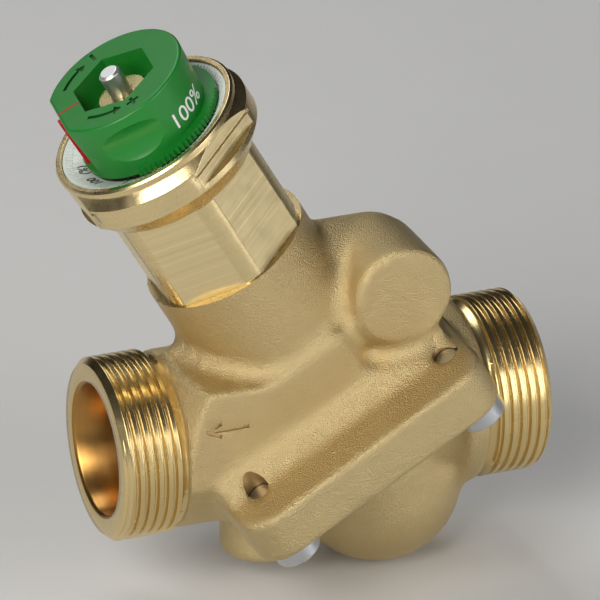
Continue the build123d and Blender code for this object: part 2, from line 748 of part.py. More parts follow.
# Bonnet: turned outside, six milled flats, three collar flats and a stepped bore
with BuildPart() as bonnet:
    add(
        turned(
            (BONNET_BORE_R, BONNET_END),
            (NECK_THREAD_R - FIT, BONNET_END),
            (NECK_THREAD_R - FIT, NECK_TOP),
            (BONNET_R, NECK_TOP),
            (BONNET_R, BONNET_STEP),
            (BONNET_STEP_R, BONNET_STEP_TOP),
            (COLLAR_BOTTOM_R, COLLAR_BOTTOM),
            (COLLAR_R, COLLAR_BOTTOM + COLLAR_EDGE),
            (COLLAR_R, COLLAR_TOP),
            (RIM_GROOVE_R, RIM_GROOVE_BOTTOM),
            (RIM_GROOVE_R, RIM_BOTTOM),
            (RIM_R, RIM_BOTTOM),
            (RIM_R, RIM_TOP - RIM_EDGE),
            (RIM_R - RIM_EDGE, RIM_TOP),
            (RIM_BORE_R, RIM_TOP),
            (RIM_BORE_R, RIM_FLOOR),
            (BONNET_MOUTH_R, RIM_FLOOR),
            (BONNET_MOUTH_R, RETAINER_TOP + FIT),
            (RETAINER_R + FIT, RETAINER_TOP + FIT),
            (RETAINER_R + FIT, RETAINER_BOTTOM - FIT),
            (BONNET_MOUTH_R, RETAINER_BOTTOM - FIT),
            (BONNET_MOUTH_R, BONNET_MOUTH),
            (BONNET_BORE_R, BONNET_MOUTH),
        )
    )
    with BuildSketch(at_height(NECK_TOP)):
        Circle(COLLAR_R + COLLAR_EDGE)
        RegularPolygon(
            BONNET_FLAT_AF / 2,
            6,
            major_radius=False,
            rotation=BONNET_FLAT_ANGLE,
            mode=Mode.SUBTRACT,
        )
    extrude(amount=BONNET_FLAT_TOP - NECK_TOP, mode=Mode.SUBTRACT)
    slot_bottom = COLLAR_SLOT_HEIGHT - COLLAR_SLOT / 2
    for angle, flat_bottom in COLLAR_FLATS:
        for apothem, bottom, top in (
            (COLLAR_FLAT_AF / 2, flat_bottom, RIM_BOTTOM),
            (COLLAR_FLAT_AF / 2 - COLLAR_SLOT_DEPTH, slot_bottom, slot_bottom + COLLAR_SLOT),
        ):
            with BuildSketch(at_height(bottom)):
                with PolarLocations(apothem + COLLAR_R / 2, 1, start_angle=angle):
                    Rectangle(COLLAR_R, 2 * COLLAR_R)
            extrude(amount=top - bottom, mode=Mode.SUBTRACT)
save(bonnet, "bonnet")

# Setting sleeve: hex drive, flange, seal groove and a skirt with the flow window
with BuildPart() as setting_sleeve:
    groove_half = SLEEVE_SEAL_CORD_R + SEAL_GAP
    add(
        turned(
            (SKIRT_BORE_R, SKIRT_BOTTOM),
            (SLEEVE_R, SKIRT_BOTTOM),
            (SLEEVE_R, SLEEVE_SEAL_HEIGHT - groove_half),
            (SLEEVE_GROOVE_R, SLEEVE_SEAL_HEIGHT - groove_half),
            (SLEEVE_GROOVE_R, SLEEVE_SEAL_HEIGHT + groove_half),
            (SLEEVE_R, SLEEVE_SEAL_HEIGHT + groove_half),
            (SLEEVE_R, SLEEVE_FLANGE_BOTTOM),
            (SLEEVE_FLANGE_R, SLEEVE_FLANGE_BOTTOM),
            (SLEEVE_FLANGE_R, SLEEVE_FLANGE_TOP),
            (SLEEVE_NECK_R, SLEEVE_FLANGE_TOP),
            (SLEEVE_NECK_R, SLEEVE_TOP),
            (SLEEVE_BORE_R, SLEEVE_TOP),
            (SLEEVE_BORE_R, SLEEVE_LEDGE),
            (SLEEVE_STEM_R, SLEEVE_LEDGE),
            (SLEEVE_STEM_R, SKIRT_TOP),
            (SKIRT_BORE_R, SKIRT_TOP),
        )
    )
    with BuildSketch(at_height(SLEEVE_DRIVE_BOTTOM)):
        Circle(SLEEVE_FLANGE_R)
        RegularPolygon(
            SLEEVE_DRIVE_AF / 2,
            6,
            major_radius=False,
            rotation=KNOB_SOCKET_ANGLE,
            mode=Mode.SUBTRACT,
        )
    extrude(amount=SLEEVE_TOP - SLEEVE_DRIVE_BOTTOM, mode=Mode.SUBTRACT)
    with BuildSketch(TOWARDS_OUTLET):
        with Locations((0, WINDOW_BOTTOM + WINDOW_HEIGHT / 2)):
            RectangleRounded(WINDOW_WIDTH, WINDOW_HEIGHT, WINDOW_CORNER_R)
    extrude(amount=NECK_CHAMBER_R, mode=Mode.SUBTRACT)
save(setting_sleeve, "setting_sleeve")

# Split ring that keeps the sleeve in the bonnet
with BuildPart() as retaining_ring:
    with BuildSketch(at_height(RETAINER_BOTTOM)):
        Circle(RETAINER_R)
        Circle(RETAINER_BORE_R, mode=Mode.SUBTRACT)
        with Locations((RETAINER_R, 0)):
            Rectangle(RETAINER_R, RETAINER_GAP, mode=Mode.SUBTRACT)
    extrude(amount=RETAINER_T)
save(retaining_ring, "retaining_ring")

# Gland nut: screwed into the sleeve, with a slotted head and an inner seal groove
with BuildPart() as gland_nut:
    groove_half = STEM_SEAL_CORD_R + SEAL_GAP
    add(
        turned(
            (STEM_R + FIT, GLAND_BOTTOM),
            (SLEEVE_BORE_R - FIT, GLAND_BOTTOM),
            (SLEEVE_BORE_R - FIT, SLEEVE_TOP),
            (GLAND_HEAD_R, SLEEVE_TOP),
            (GLAND_HEAD_R, GLAND_TOP),
            (STEM_R + FIT, GLAND_TOP),
            (STEM_R + FIT, STEM_SEAL_HEIGHT + groove_half),
            (STEM_SEAL_R + STEM_SEAL_CORD_R, STEM_SEAL_HEIGHT + groove_half),
            (STEM_SEAL_R + STEM_SEAL_CORD_R, STEM_SEAL_HEIGHT - groove_half),
            (STEM_R + FIT, STEM_SEAL_HEIGHT - groove_half),
        )
    )
    with BuildSketch(at_height(GLAND_TOP)):
        Rectangle(GLAND_SLOT, 2 * SLEEVE_BORE_R)
    extrude(amount=-GLAND_SLOT_DEPTH, mode=Mode.SUBTRACT)
save(gland_nut, "gland_nut")

# Stem with a chamfered tip and a groove for its clip
with BuildPart() as stem:
    add(
        turned(
            (0, STEM_BOTTOM),
            (STEM_R, STEM_BOTTOM),
            (STEM_R, CLIP_BOTTOM),
            (CLIP_BORE_R, CLIP_BOTTOM),
            (CLIP_BORE_R, CLIP_TOP),
            (STEM_R, CLIP_TOP),
            (STEM_R, STEM_TOP - STEM_TIP),
            (STEM_R - STEM_TIP, STEM_TOP),
            (0, STEM_TOP),
        )
    )
save(stem, "stem")

# Clip that carries the return spring on the stem
with BuildPart() as stem_clip:
    with BuildSketch(at_height(CLIP_BOTTOM)):
        Circle(CLIP_R)
        Circle(CLIP_BORE_R, mode=Mode.SUBTRACT)
        with Locations((CLIP_R, 0)):
            Rectangle(2 * CLIP_R, 2 * CLIP_BORE_R, mode=Mode.SUBTRACT)
    extrude(amount=CLIP_T)
save(stem_clip, "stem_clip")

# Control cone with its socket for the stem and a nose that holds the seal
with BuildPart() as control_cone:
    add(
        turned(
            (0, CONE_SEAL_BOTTOM - CONE_NOSE_PROUD),
            (CONE_NOSE_R, CONE_SEAL_BOTTOM - CONE_NOSE_PROUD),
            (CONE_NOSE_R, CONE_BOTTOM),
            (CONE_R, CONE_BOTTOM),
            (CONE_R, CONE_HUB_BOTTOM),
            (CONE_HUB_R, CONE_HUB_BOTTOM),
            (CONE_HUB_R, CONE_TOP),
            (STEM_R, CONE_TOP),
            (STEM_R, STEM_BOTTOM),
            (0, STEM_BOTTOM),
        )
    )
save(control_cone, "control_cone")

# Flat seal under the cone
with BuildPart() as cone_seal:
    with BuildSketch(at_height(CONE_SEAL_BOTTOM)):
        Circle(CONE_SEAL_R)
        Circle(CONE_NOSE_R, mode=Mode.SUBTRACT)
    extrude(amount=CONE_SEAL_T)
save(cone_seal, "cone_seal")

# Control seat, pressed into the chamber floor
with BuildPart() as seat_ring:
    with BuildSketch(at_height(SEAT_BOTTOM)):
        Circle(SEAT_R)
        Circle(SEAT_BORE_R, mode=Mode.SUBTRACT)
    extrude(amount=SEAT_T)
    chamfer(
        seat_ring.faces().sort_by(VALVE_AXIS)[-1].edges().sort_by(SortBy.RADIUS)[-1], SEAT_EDGE
    )
save(seat_ring, "seat_ring")

# Seals
save(
    seal(
        BONNET_END - BONNET_SEAL_CORD_R - FIT,
        NECK_THREAD_R - BONNET_SEAL_CORD_R - FIT,
        BONNET_SEAL_CORD_R,
    ),
    "bonnet_seal",
)
save(seal(SLEEVE_SEAL_HEIGHT, SLEEVE_SEAL_R, SLEEVE_SEAL_CORD_R), "sleeve_seal")
save(seal(STEM_SEAL_HEIGHT, STEM_SEAL_R, STEM_SEAL_CORD_R), "stem_seal")
save(seal(GUIDE_SEAL_HEIGHT, GUIDE_SEAL_R, GUIDE_SEAL_CORD_R), "guide_seal")

# Springs
save(spring(SLEEVE_LEDGE, CLIP_BOTTOM, RETURN_COIL_R, RETURN_WIRE, RETURN_TURNS), "return_spring")
save(
    spring(GUIDE_TOP, TUBE_FLANGE_BOTTOM, REG_SPRING_COIL_R, REG_SPRING_WIRE, REG_SPRING_TURNS),
    "regulator_spring",
)

# Diaphragm with its rolled ring between the clamped rim and the plate
with BuildPart() as diaphragm:
    roll_in = DIAPHRAGM_ROLL_R - DIAPHRAGM_ROLL_HALF
    roll_out = DIAPHRAGM_ROLL_R + DIAPHRAGM_ROLL_HALF
    with BuildSketch(AXIAL):
        with BuildLine():
            Polyline(
                (roll_in, PARTING),
                (TUBE_SPIGOT_R + FIT, PARTING),
                (TUBE_SPIGOT_R + FIT, DIAPHRAGM_BOTTOM),
                (roll_in, DIAPHRAGM_BOTTOM),
            )
            ThreePointArc(
                (roll_in, DIAPHRAGM_BOTTOM),
                (DIAPHRAGM_ROLL_R, DIAPHRAGM_BOTTOM + DIAPHRAGM_ROLL_RISE),
                (roll_out, DIAPHRAGM_BOTTOM),
            )
            Polyline(
                (roll_out, DIAPHRAGM_BOTTOM),
                (DIAPHRAGM_R, DIAPHRAGM_BOTTOM),
                (DIAPHRAGM_R, PARTING),
                (roll_out, PARTING),
            )
            ThreePointArc(
                (roll_out, PARTING),
                (DIAPHRAGM_ROLL_R, PARTING + DIAPHRAGM_ROLL_RISE),
                (roll_in, PARTING),
            )
        make_face()
    revolve(axis=VALVE_AXIS)
save(diaphragm, "diaphragm")

# Backing plate and nut that hold the diaphragm on the tube
with BuildPart() as diaphragm_plate:
    with BuildSketch(at_height(PARTING)):
        Circle(BACKING_R)
        Circle(TUBE_SPIGOT_R + FIT, mode=Mode.SUBTRACT)
    extrude(amount=BACKING_T)
save(diaphragm_plate, "diaphragm_plate")

with BuildPart() as diaphragm_nut:
    with BuildSketch(at_height(BACKING_TOP)):
        RegularPolygon(NUT_AF / 2, 6, major_radius=False)
        Circle(TUBE_SPIGOT_R + FIT, mode=Mode.SUBTRACT)
    extrude(amount=NUT_T)
save(diaphragm_nut, "diaphragm_nut")

# Hollow regulating tube with its flange and spigot
with BuildPart() as regulator_cone:
    add(
        turned(
            (TUBE_BORE_R, TUBE_BOTTOM),
            (TUBE_R, TUBE_BOTTOM),
            (TUBE_R, TUBE_FLANGE_BOTTOM),
            (TUBE_FLANGE_R, TUBE_FLANGE_BOTTOM),
            (TUBE_FLANGE_R, DIAPHRAGM_BOTTOM),
            (TUBE_SPIGOT_R, DIAPHRAGM_BOTTOM),
            (TUBE_SPIGOT_R, NUT_TOP),
            (TUBE_BORE_R, NUT_TOP),
        )
    )
save(regulator_cone, "regulator_cone")

# Guide ring of the tube, on its ledge in the housing
with BuildPart() as regulator_guide:
    groove_half = GUIDE_SEAL_CORD_R + SEAL_GAP
    add(
        turned(
            (TUBE_R + FIT, GUIDE_BOTTOM),
            (GUIDE_R, GUIDE_BOTTOM),
            (GUIDE_R, GUIDE_TOP),
            (TUBE_R + FIT, GUIDE_TOP),
            (TUBE_R + FIT, GUIDE_SEAL_HEIGHT + groove_half),
            (GUIDE_SEAL_R + GUIDE_SEAL_CORD_R, GUIDE_SEAL_HEIGHT + groove_half),
            (GUIDE_SEAL_R + GUIDE_SEAL_CORD_R, GUIDE_SEAL_HEIGHT - groove_half),
            (TUBE_R + FIT, GUIDE_SEAL_HEIGHT - groove_half),
        )
    )
save(regulator_guide, "regulator_guide")

# Seat disc below the tube
with BuildPart() as regulator_seat:
    add(drum(REG_SEAT_BOTTOM, REG_SEAT_TOP, REG_SEAT_R))
save(regulator_seat, "regulator_seat")

# Dial ring with its conical face
with BuildPart() as dial_ring:
    add(
        turned(
            (DIAL_BORE_R, RIM_FLOOR),
            (RIM_BORE_R - FIT, RIM_FLOOR),
            (RIM_BORE_R - FIT, DIAL_EDGE),
            (RIM_BORE_R - FIT - DIAL_LIP, DIAL_EDGE),
            (DIAL_BORE_R, DIAL_INNER),
        )
    )
save(dial_ring, "dial_ring")

# Knob: tapered body with a flat facet, finger troughs, hex socket, drive bore and skirt
with BuildPart() as setting_knob:
    with BuildSketch(at_height(KNOB_BASE)):
        Circle(KNOB_BASE_R)
        with PolarLocations(KNOB_BASE_FLAT + KNOB_BASE_R / 2, 1, start_angle=POINTER_ANGLE):
            Rectangle(KNOB_BASE_R, 2 * KNOB_BASE_R, mode=Mode.SUBTRACT)
    extrude(amount=KNOB_TOP - KNOB_BASE, taper=-KNOB_TAPER)
    fillet(setting_knob.faces().sort_by(VALVE_AXIS)[-1].edges(), KNOB_EDGE_R)
    for angle in GRIP_ANGLES:
        add(grip(angle), mode=Mode.SUBTRACT)
    add(toothed_skirt())
    with BuildSketch(at_height(KNOB_BASE)):
        RegularPolygon(
            SLEEVE_DRIVE_AF / 2 + SEAL_GAP, 6, major_radius=False, rotation=KNOB_SOCKET_ANGLE
        )
    extrude(amount=KNOB_SOCKET_FLOOR - KNOB_BASE, mode=Mode.SUBTRACT)
    with BuildSketch(at_height(KNOB_SOCKET_FLOOR)):
        RegularPolygon(KNOB_SOCKET_AF / 2, 6, major_radius=False, rotation=KNOB_SOCKET_ANGLE)
    extrude(amount=KNOB_TOP - KNOB_SOCKET_FLOOR, mode=Mode.SUBTRACT)
    add(pointer_bar(), mode=Mode.SUBTRACT)
save(setting_knob, "setting_knob")

with BuildPart() as knob_pointer:
    add(pointer_bar())
save(knob_pointer, "knob_pointer")
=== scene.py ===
"""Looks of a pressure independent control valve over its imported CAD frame.

Lengths are worked out in millimetres in the part's frame: origin at the centre of the outlet
port's end face, +X along the pipe, +Z up. The regulating axis leans towards the outlet. Each
finished mesh is scaled to metres, and its object stays at the origin.
"""

import json
import logging
from collections.abc import Callable, Iterable, Sequence
from dataclasses import dataclass, field
from enum import Enum
from math import atan, cos, degrees, pi, radians, sin, tan

import bmesh
import bpy
from mathutils import Matrix, Vector

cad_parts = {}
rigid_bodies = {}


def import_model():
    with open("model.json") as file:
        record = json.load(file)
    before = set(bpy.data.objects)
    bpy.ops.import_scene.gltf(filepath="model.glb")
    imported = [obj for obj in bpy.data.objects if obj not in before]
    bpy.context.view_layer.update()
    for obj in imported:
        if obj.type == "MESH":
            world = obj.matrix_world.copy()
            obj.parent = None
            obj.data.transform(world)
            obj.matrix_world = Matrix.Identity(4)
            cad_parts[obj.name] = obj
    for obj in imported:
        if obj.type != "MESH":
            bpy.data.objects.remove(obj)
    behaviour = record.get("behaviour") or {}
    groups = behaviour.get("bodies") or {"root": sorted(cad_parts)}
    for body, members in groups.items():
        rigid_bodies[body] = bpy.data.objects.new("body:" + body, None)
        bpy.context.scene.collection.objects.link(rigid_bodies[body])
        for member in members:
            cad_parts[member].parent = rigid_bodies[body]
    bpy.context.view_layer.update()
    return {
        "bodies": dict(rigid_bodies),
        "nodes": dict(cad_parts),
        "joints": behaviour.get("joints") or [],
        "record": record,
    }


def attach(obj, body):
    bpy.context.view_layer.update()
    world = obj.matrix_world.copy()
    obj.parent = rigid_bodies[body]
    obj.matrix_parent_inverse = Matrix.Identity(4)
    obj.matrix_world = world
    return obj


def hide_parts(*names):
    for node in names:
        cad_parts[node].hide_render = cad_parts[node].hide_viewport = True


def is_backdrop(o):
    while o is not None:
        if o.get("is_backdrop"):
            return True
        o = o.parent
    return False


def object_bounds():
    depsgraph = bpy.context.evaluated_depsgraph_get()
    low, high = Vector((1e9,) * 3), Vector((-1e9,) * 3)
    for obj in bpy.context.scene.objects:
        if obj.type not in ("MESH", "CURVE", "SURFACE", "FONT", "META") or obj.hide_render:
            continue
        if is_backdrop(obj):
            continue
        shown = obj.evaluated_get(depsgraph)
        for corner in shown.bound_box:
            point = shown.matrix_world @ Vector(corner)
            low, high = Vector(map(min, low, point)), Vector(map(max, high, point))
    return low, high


LOG = logging.getLogger("valve")
Colour = tuple[float, float, float]
Point = tuple[float, float]
Profile = Sequence[Point]

MM = 0.001
LEAN = radians(30.0)
AXIS_X = 36.0
FACE_TO_FACE = 65.0
AXIS_UP = Vector((-sin(LEAN), 0.0, cos(LEAN)))
AXIS_ACROSS = Vector((cos(LEAN), 0.0, sin(LEAN)))
PARTING = 1.0
SCREW_ACROSS, SCREW_BESIDE = 16.2, 15.3
SCREWS = [(SCREW_ACROSS * i, SCREW_BESIDE * j) for i in (-1, 1) for j in (-1, 1)]
FRAME: dict = {}


def placed(origin: Sequence[float], x_dir: Sequence[float], z_dir: Sequence[float]) -> Matrix:
    """Set up a plane's own frame.

    Args:
        origin: The plane's origin.
        x_dir: Its x direction.
        z_dir: Its normal.

    Returns:
        The matrix from the plane's frame to the part's frame.
    """
    x_axis, z_axis = Vector(x_dir).normalized(), Vector(z_dir).normalized()
    y_axis = z_axis.cross(x_axis)
    rows = [(x_axis[i], y_axis[i], z_axis[i], origin[i]) for i in range(3)]
    return Matrix((*rows, (0.0, 0.0, 0.0, 1.0)))


VALVE = placed((AXIS_X, 0.0, 0.0), AXIS_ACROSS, AXIS_UP)
OUTLET = placed((0.0, 0.0, 0.0), (0, 0, 1), (1, 0, 0))
INLET = placed((FACE_TO_FACE, 0.0, 0.0), (0, 0, 1), (-1, 0, 0))
UPRIGHT = Matrix.Identity(4)


class Line(Enum):
    """Direction along which a cutting tool left its fine lines."""

    NONE = None
    VALVE_AXIS = tuple(AXIS_UP)
    PIPE = (1.0, 0.0, 0.0)


@dataclass(frozen=True)
class Finish:
    """One surface finish, from which a procedural material is made.

    Depths of grain and tool lines are in millimetres. Scales are in cells per metre.
    """

    name: str
    colour: Colour
    shade: Colour
    roughness: float
    metallic: float = 0.0
    uneven: float = 0.05
    grain: float = 0.0
    grain_scale: float = 2600.0
    lines: Line = Line.NONE
    line_depth: float = 0.0
    coat: float = 0.0
    coat_roughness: float = 0.12
    cloud_scale: float = 90.0
    gloss_scale: float = 420.0
    pit_size: float = 0.3
    pit_depth: float = 0.25
    fine_lines: float = 3600.0
    broad_lines: float = 1100.0
    broad_depth: float = 1.5

    def material(self) -> bpy.types.Material:
        """Return this finish's material, made at the first call."""
        found = bpy.data.materials.get(f"look_{self.name}")
        return found or self._build()

    def _build(self) -> bpy.types.Material:
        """Build the node tree: noise varies colour and gloss, grain and tool lines are bumps.

        Returns:
            The new material.
        """
        material = bpy.data.materials.new(f"look_{self.name}")
        material.use_nodes = True
        tree = material.node_tree
        shader = tree.nodes["Principled BSDF"]
        shader.inputs["Metallic"].default_value = self.metallic
        shader.inputs["Coat Weight"].default_value = self.coat
        shader.inputs["Coat Roughness"].default_value = self.coat_roughness
        place = tree.nodes.new("ShaderNodeTexCoord").outputs["Object"]

        mix = tree.nodes.new("ShaderNodeMix")
        mix.data_type = "RGBA"
        mix.inputs["A"].default_value = (*self.shade, 1.0)
        mix.inputs["B"].default_value = (*self.colour, 1.0)
        tree.links.new(mix.outputs["Result"], shader.inputs["Base Color"])

        gloss = tree.nodes.new("ShaderNodeMapRange")
        gloss.inputs["From Min"].default_value = 0.3
        gloss.inputs["From Max"].default_value = 0.7
        gloss.inputs["To Min"].default_value = self.roughness - self.uneven
        gloss.inputs["To Max"].default_value = self.roughness + self.uneven
        tree.links.new(self._noise(tree, place, self.gloss_scale, 3.0), gloss.inputs["Value"])
        tree.links.new(gloss.outputs["Result"], shader.inputs["Roughness"])

        normal = None
        if self.grain:
            grit = self._noise(tree, place, self.grain_scale, 2.0)
            normal = self._bump(tree, grit, self.grain, normal)
            pits = self._noise(tree, place, self.grain_scale * self.pit_size, 2.0)
            normal = self._bump(tree, pits, self.grain * self.pit_depth, normal)
        if self.lines.value:
            along = tree.nodes.new("ShaderNodeVectorMath")
            along.operation = "DOT_PRODUCT"
            along.inputs[1].default_value = self.lines.value
            tree.links.new(place, along.inputs[0])
            fine = self._stripes(tree, along.outputs["Value"], self.fine_lines)
            normal = self._bump(tree, fine, self.line_depth, normal)
            streaks = self._stripes(tree, along.outputs["Value"], self.broad_lines)
            normal = self._bump(tree, streaks, self.line_depth * self.broad_depth, normal)
        else:
            streaks = self._noise(tree, place, self.cloud_scale, 4.0)
        tree.links.new(streaks, mix.inputs["Factor"])
        if normal is not None:
            tree.links.new(normal, shader.inputs["Normal"])
        return material

    @staticmethod
    def _noise(
        tree: bpy.types.NodeTree, place: bpy.types.NodeSocket, scale: float, detail: float
    ) -> bpy.types.NodeSocket:
        """Add a noise over the object's own coordinates.

        Args:
            tree: Node tree of the material.
            place: Socket with the coordinates.
            scale: Cells per metre.
            detail: Number of finer layers.

        Returns:
            The socket with the noise's factor.
        """
        node = tree.nodes.new("ShaderNodeTexNoise")
        node.inputs["Scale"].default_value = scale
        node.inputs["Detail"].default_value = detail
        tree.links.new(place, node.inputs["Vector"])
        return node.outputs["Fac"]

    @staticmethod
    def _stripes(
        tree: bpy.types.NodeTree, along: bpy.types.NodeSocket, scale: float
    ) -> bpy.types.NodeSocket:
        """Add a noise that varies in one direction only.

        Args:
            tree: Node tree of the material.
            along: Socket with the distance in that direction.
            scale: Cells per metre.

        Returns:
            The socket with the noise's factor.
        """
        node = tree.nodes.new("ShaderNodeTexNoise")
        node.noise_dimensions = "1D"
        node.inputs["Scale"].default_value = scale
        node.inputs["Detail"].default_value = 1.0
        tree.links.new(along, node.inputs["W"])
        return node.outputs["Fac"]

    @staticmethod
    def _bump(
        tree: bpy.types.NodeTree,
        height: bpy.types.NodeSocket,
        depth: float,
        under: bpy.types.NodeSocket | None,
    ) -> bpy.types.NodeSocket:
        """Add a bump, laid over an earlier one when there is one.

        Args:
            tree: Node tree of the material.
            height: Socket with the height.
            depth: Depth in millimetres.
            under: Socket with the normal of the earlier bump.

        Returns:
            The socket with the bumped normal.
        """
        node = tree.nodes.new("ShaderNodeBump")
        node.inputs["Distance"].default_value = depth * MM
        tree.links.new(height, node.inputs["Height"])
        if under is not None:
            tree.links.new(under, node.inputs["Normal"])
        return node.outputs["Normal"]


CAST = Finish(
    "cast_brass", (0.66, 0.52, 0.275), (0.58, 0.45, 0.225), 0.41, 1.0, 0.05, grain=0.22,
    grain_scale=5000.0,
)
TURNED = Finish(
    "turned_brass", (0.82, 0.66, 0.36), (0.76, 0.60, 0.31), 0.27, 1.0, 0.03,
    lines=Line.VALVE_AXIS, line_depth=0.002,
)
MILLED = Finish(
    "milled_brass", (0.92, 0.77, 0.45), (0.74, 0.59, 0.31), 0.38, 1.0, 0.05,
    lines=Line.VALVE_AXIS, line_depth=0.014,
)
PORT = Finish(
    "port_brass", (0.78, 0.61, 0.30), (0.72, 0.55, 0.26), 0.25, 1.0, 0.03,
    lines=Line.PIPE, line_depth=0.0005,
)
# Painted shade and painted reflection: this dark reddish brown stands for the shade and the warm
# inter-reflected light deep inside the port bores.
PAINTED_SHADE_BORE = Finish(
    "bore_brass_painted_shade", (0.45, 0.25, 0.07), (0.36, 0.18, 0.05), 0.32, 1.0, 0.04,
    lines=Line.PIPE, line_depth=0.003,
)
# Painted shade: the screw holes' walls are coloured dark brown for the shade inside the holes.
PAINTED_SHADE_HOLE = Finish("hole_brass_painted_shade", (0.42, 0.28, 0.12), (0.32, 0.20, 0.08), 0.5, 1.0, 0.05, grain=0.01)
GREEN = Finish(
    "green_plastic", (0.008, 0.225, 0.022), (0.006, 0.185, 0.017), 0.38, grain=0.004,
    grain_scale=1500.0, coat=0.06,
)
# Painted shade: the engraved marks on the knob's top are coloured dark green for the shade in their
# recesses.
PAINTED_SHADE_GREEN = Finish("green_recess_painted_shade", (0.004, 0.09, 0.012), (0.003, 0.07, 0.009), 0.5)
RED = Finish("red_plastic", (0.50, 0.006, 0.012), (0.40, 0.004, 0.010), 0.35, grain=0.003)
DIAL = Finish(
    "dial_plastic", (0.72, 0.76, 0.72), (0.66, 0.70, 0.66), 0.4, grain=0.003, grain_scale=1500.0
)
BLACK_PRINT = Finish("black_print", (0.02, 0.02, 0.02), (0.03, 0.03, 0.03), 0.5)
WHITE_PRINT = Finish("white_print", (0.82, 0.84, 0.82), (0.78, 0.80, 0.78), 0.45)
STEEL = Finish(
    "bright_steel", (0.84, 0.85, 0.84), (0.78, 0.79, 0.78), 0.42, 1.0, 0.04,
    lines=Line.VALVE_AXIS, line_depth=0.004,
)
ZINC = Finish(
    "bright_zinc", (0.66, 0.67, 0.69), (0.58, 0.59, 0.61), 0.3, 1.0, 0.05, grain=0.004,
    grain_scale=1200.0,
)
RUBBER = Finish("seal_rubber", (0.02, 0.02, 0.02), (0.03, 0.03, 0.032), 0.6, grain=0.01)


def new_object(data: bpy.types.ID, name: str) -> bpy.types.Object:
    """Put a mesh, text, lamp or camera into the scene.

    Args:
        data: What the object holds.
        name: Name of the object.

    Returns:
        The new object.
    """
    obj = bpy.data.objects.new(name, data)
    bpy.context.scene.collection.objects.link(obj)
    return obj


def from_bmesh(bm: bmesh.types.BMesh, name: str, frame: Matrix, finish: Finish) -> bpy.types.Object:
    """Turn a bmesh into an object, placed by a frame, with outward normals.

    Args:
        bm: The shape in its own frame. It is freed.
        name: Name of the object.
        frame: Matrix from the shape's frame to the part's frame.
        finish: Finish of all its faces.

    Returns:
        The new object, still in millimetres.
    """
    bmesh.ops.recalc_face_normals(bm, faces=bm.faces)
    bm.transform(frame)
    mesh = bpy.data.meshes.new(name)
    bm.to_mesh(mesh)
    bm.free()
    mesh.materials.append(finish.material())
    return new_object(mesh, name)


def circle(radius: float, segments: int, centre: Point = (0.0, 0.0)) -> list[Point]:
    """Set out points round a circle.

    Args:
        radius: Radius of the circle.
        segments: Number of points.
        centre: Its centre.

    Returns:
        The points, from the x direction on.
    """
    turns = [2 * pi * step / segments for step in range(segments)]
    return [(centre[0] + radius * cos(turn), centre[1] + radius * sin(turn)) for turn in turns]


def lathe(
    name: str,
    profile: Profile,
    frame: Matrix,
    finish: Finish,
    segments: int = 120,
    radius_at: Callable[[float, float, float], float] | None = None,
) -> bpy.types.Object:
    """Turn a closed (radius, height) outline round a frame's z axis.

    Args:
        name: Name of the object.
        profile: The outline. Points on the axis have radius 0.
        frame: Frame whose z axis is the axis of turning.
        finish: Finish of all faces.
        segments: Number of steps round the axis.
        radius_at: Gives a point's radius from its angle, radius and height, for a thread.

    Returns:
        The solid as an object.
    """
    bm = bmesh.new()
    rings = []
    for radius, height in profile:
        if radius == 0:
            rings.append([bm.verts.new((0.0, 0.0, height))])
            continue
        ring = []
        for step in range(segments):
            angle = 2 * pi * step / segments
            at = radius_at(angle, radius, height) if radius_at else radius
            ring.append(bm.verts.new((at * cos(angle), at * sin(angle), height)))
        rings.append(ring)
    for near, far in zip(rings, rings[1:] + rings[:1]):
        for i in range(segments):
            j = (i + 1) % segments
            corners = [near[i % len(near)], near[j % len(near)], far[j % len(far)], far[i % len(far)]]
            unique = list(dict.fromkeys(corners))
            if len(unique) > 2:
                bm.faces.new(unique)
    return from_bmesh(bm, name, frame, finish)


def prism(
    name: str, outline: Profile, bottom: float, top: float, frame: Matrix, finish: Finish
) -> bpy.types.Object:
    """Extrude a closed outline along a frame's z axis.

    Args:
        name: Name of the object.
        outline: Corners of the outline in order.
        bottom: Height where it starts.
        top: Height where it ends.
        frame: Frame whose z axis it is extruded along.
        finish: Finish of all faces.

    Returns:
        The solid as an object.
    """
    bm = bmesh.new()
    lower = [bm.verts.new((x, y, bottom)) for x, y in outline]
    upper = [bm.verts.new((x, y, top)) for x, y in outline]
    bm.faces.new(lower)
    bm.faces.new(upper)
    for i in range(len(outline)):
        j = (i + 1) % len(outline)
        bm.faces.new((lower[i], lower[j], upper[j], upper[i]))
    return from_bmesh(bm, name, frame, finish)


def drum(
    name: str,
    bottom: float,
    top: float,
    radius: float,
    finish: Finish,
    centre: Point = (0.0, 0.0),
    frame: Matrix = VALVE,
    segments: int = 64,
) -> bpy.types.Object:
    """Make a round solid along a frame's z axis.

    Args:
        name: Name of the object.
        bottom: Height where it starts.
        top: Height where it ends.
        radius: Its radius.
        finish: Finish of all faces.
        centre: Its place beside the axis.
        frame: Frame that it stands in.
        segments: Number of steps round it.

    Returns:
        The solid as an object.
    """
    return prism(name, circle(radius, segments, centre), bottom, top, frame, finish)


def remove(*objects: bpy.types.Object) -> None:
    """Delete helper objects and their meshes.

    Args:
        objects: The objects.
    """
    for obj in objects:
        mesh = obj.data
        bpy.data.objects.remove(obj)
        bpy.data.meshes.remove(mesh)


def bake(obj: bpy.types.Object) -> None:
    """Replace an object's mesh with what its modifiers make of it, and remove them.

    Args:
        obj: The object.
    """
    graph = bpy.context.evaluated_depsgraph_get()
    graph.update()
    mesh = bpy.data.meshes.new_from_object(obj.evaluated_get(graph))
    old = obj.data
    obj.modifiers.clear()
    obj.data = mesh
    bpy.data.meshes.remove(old)


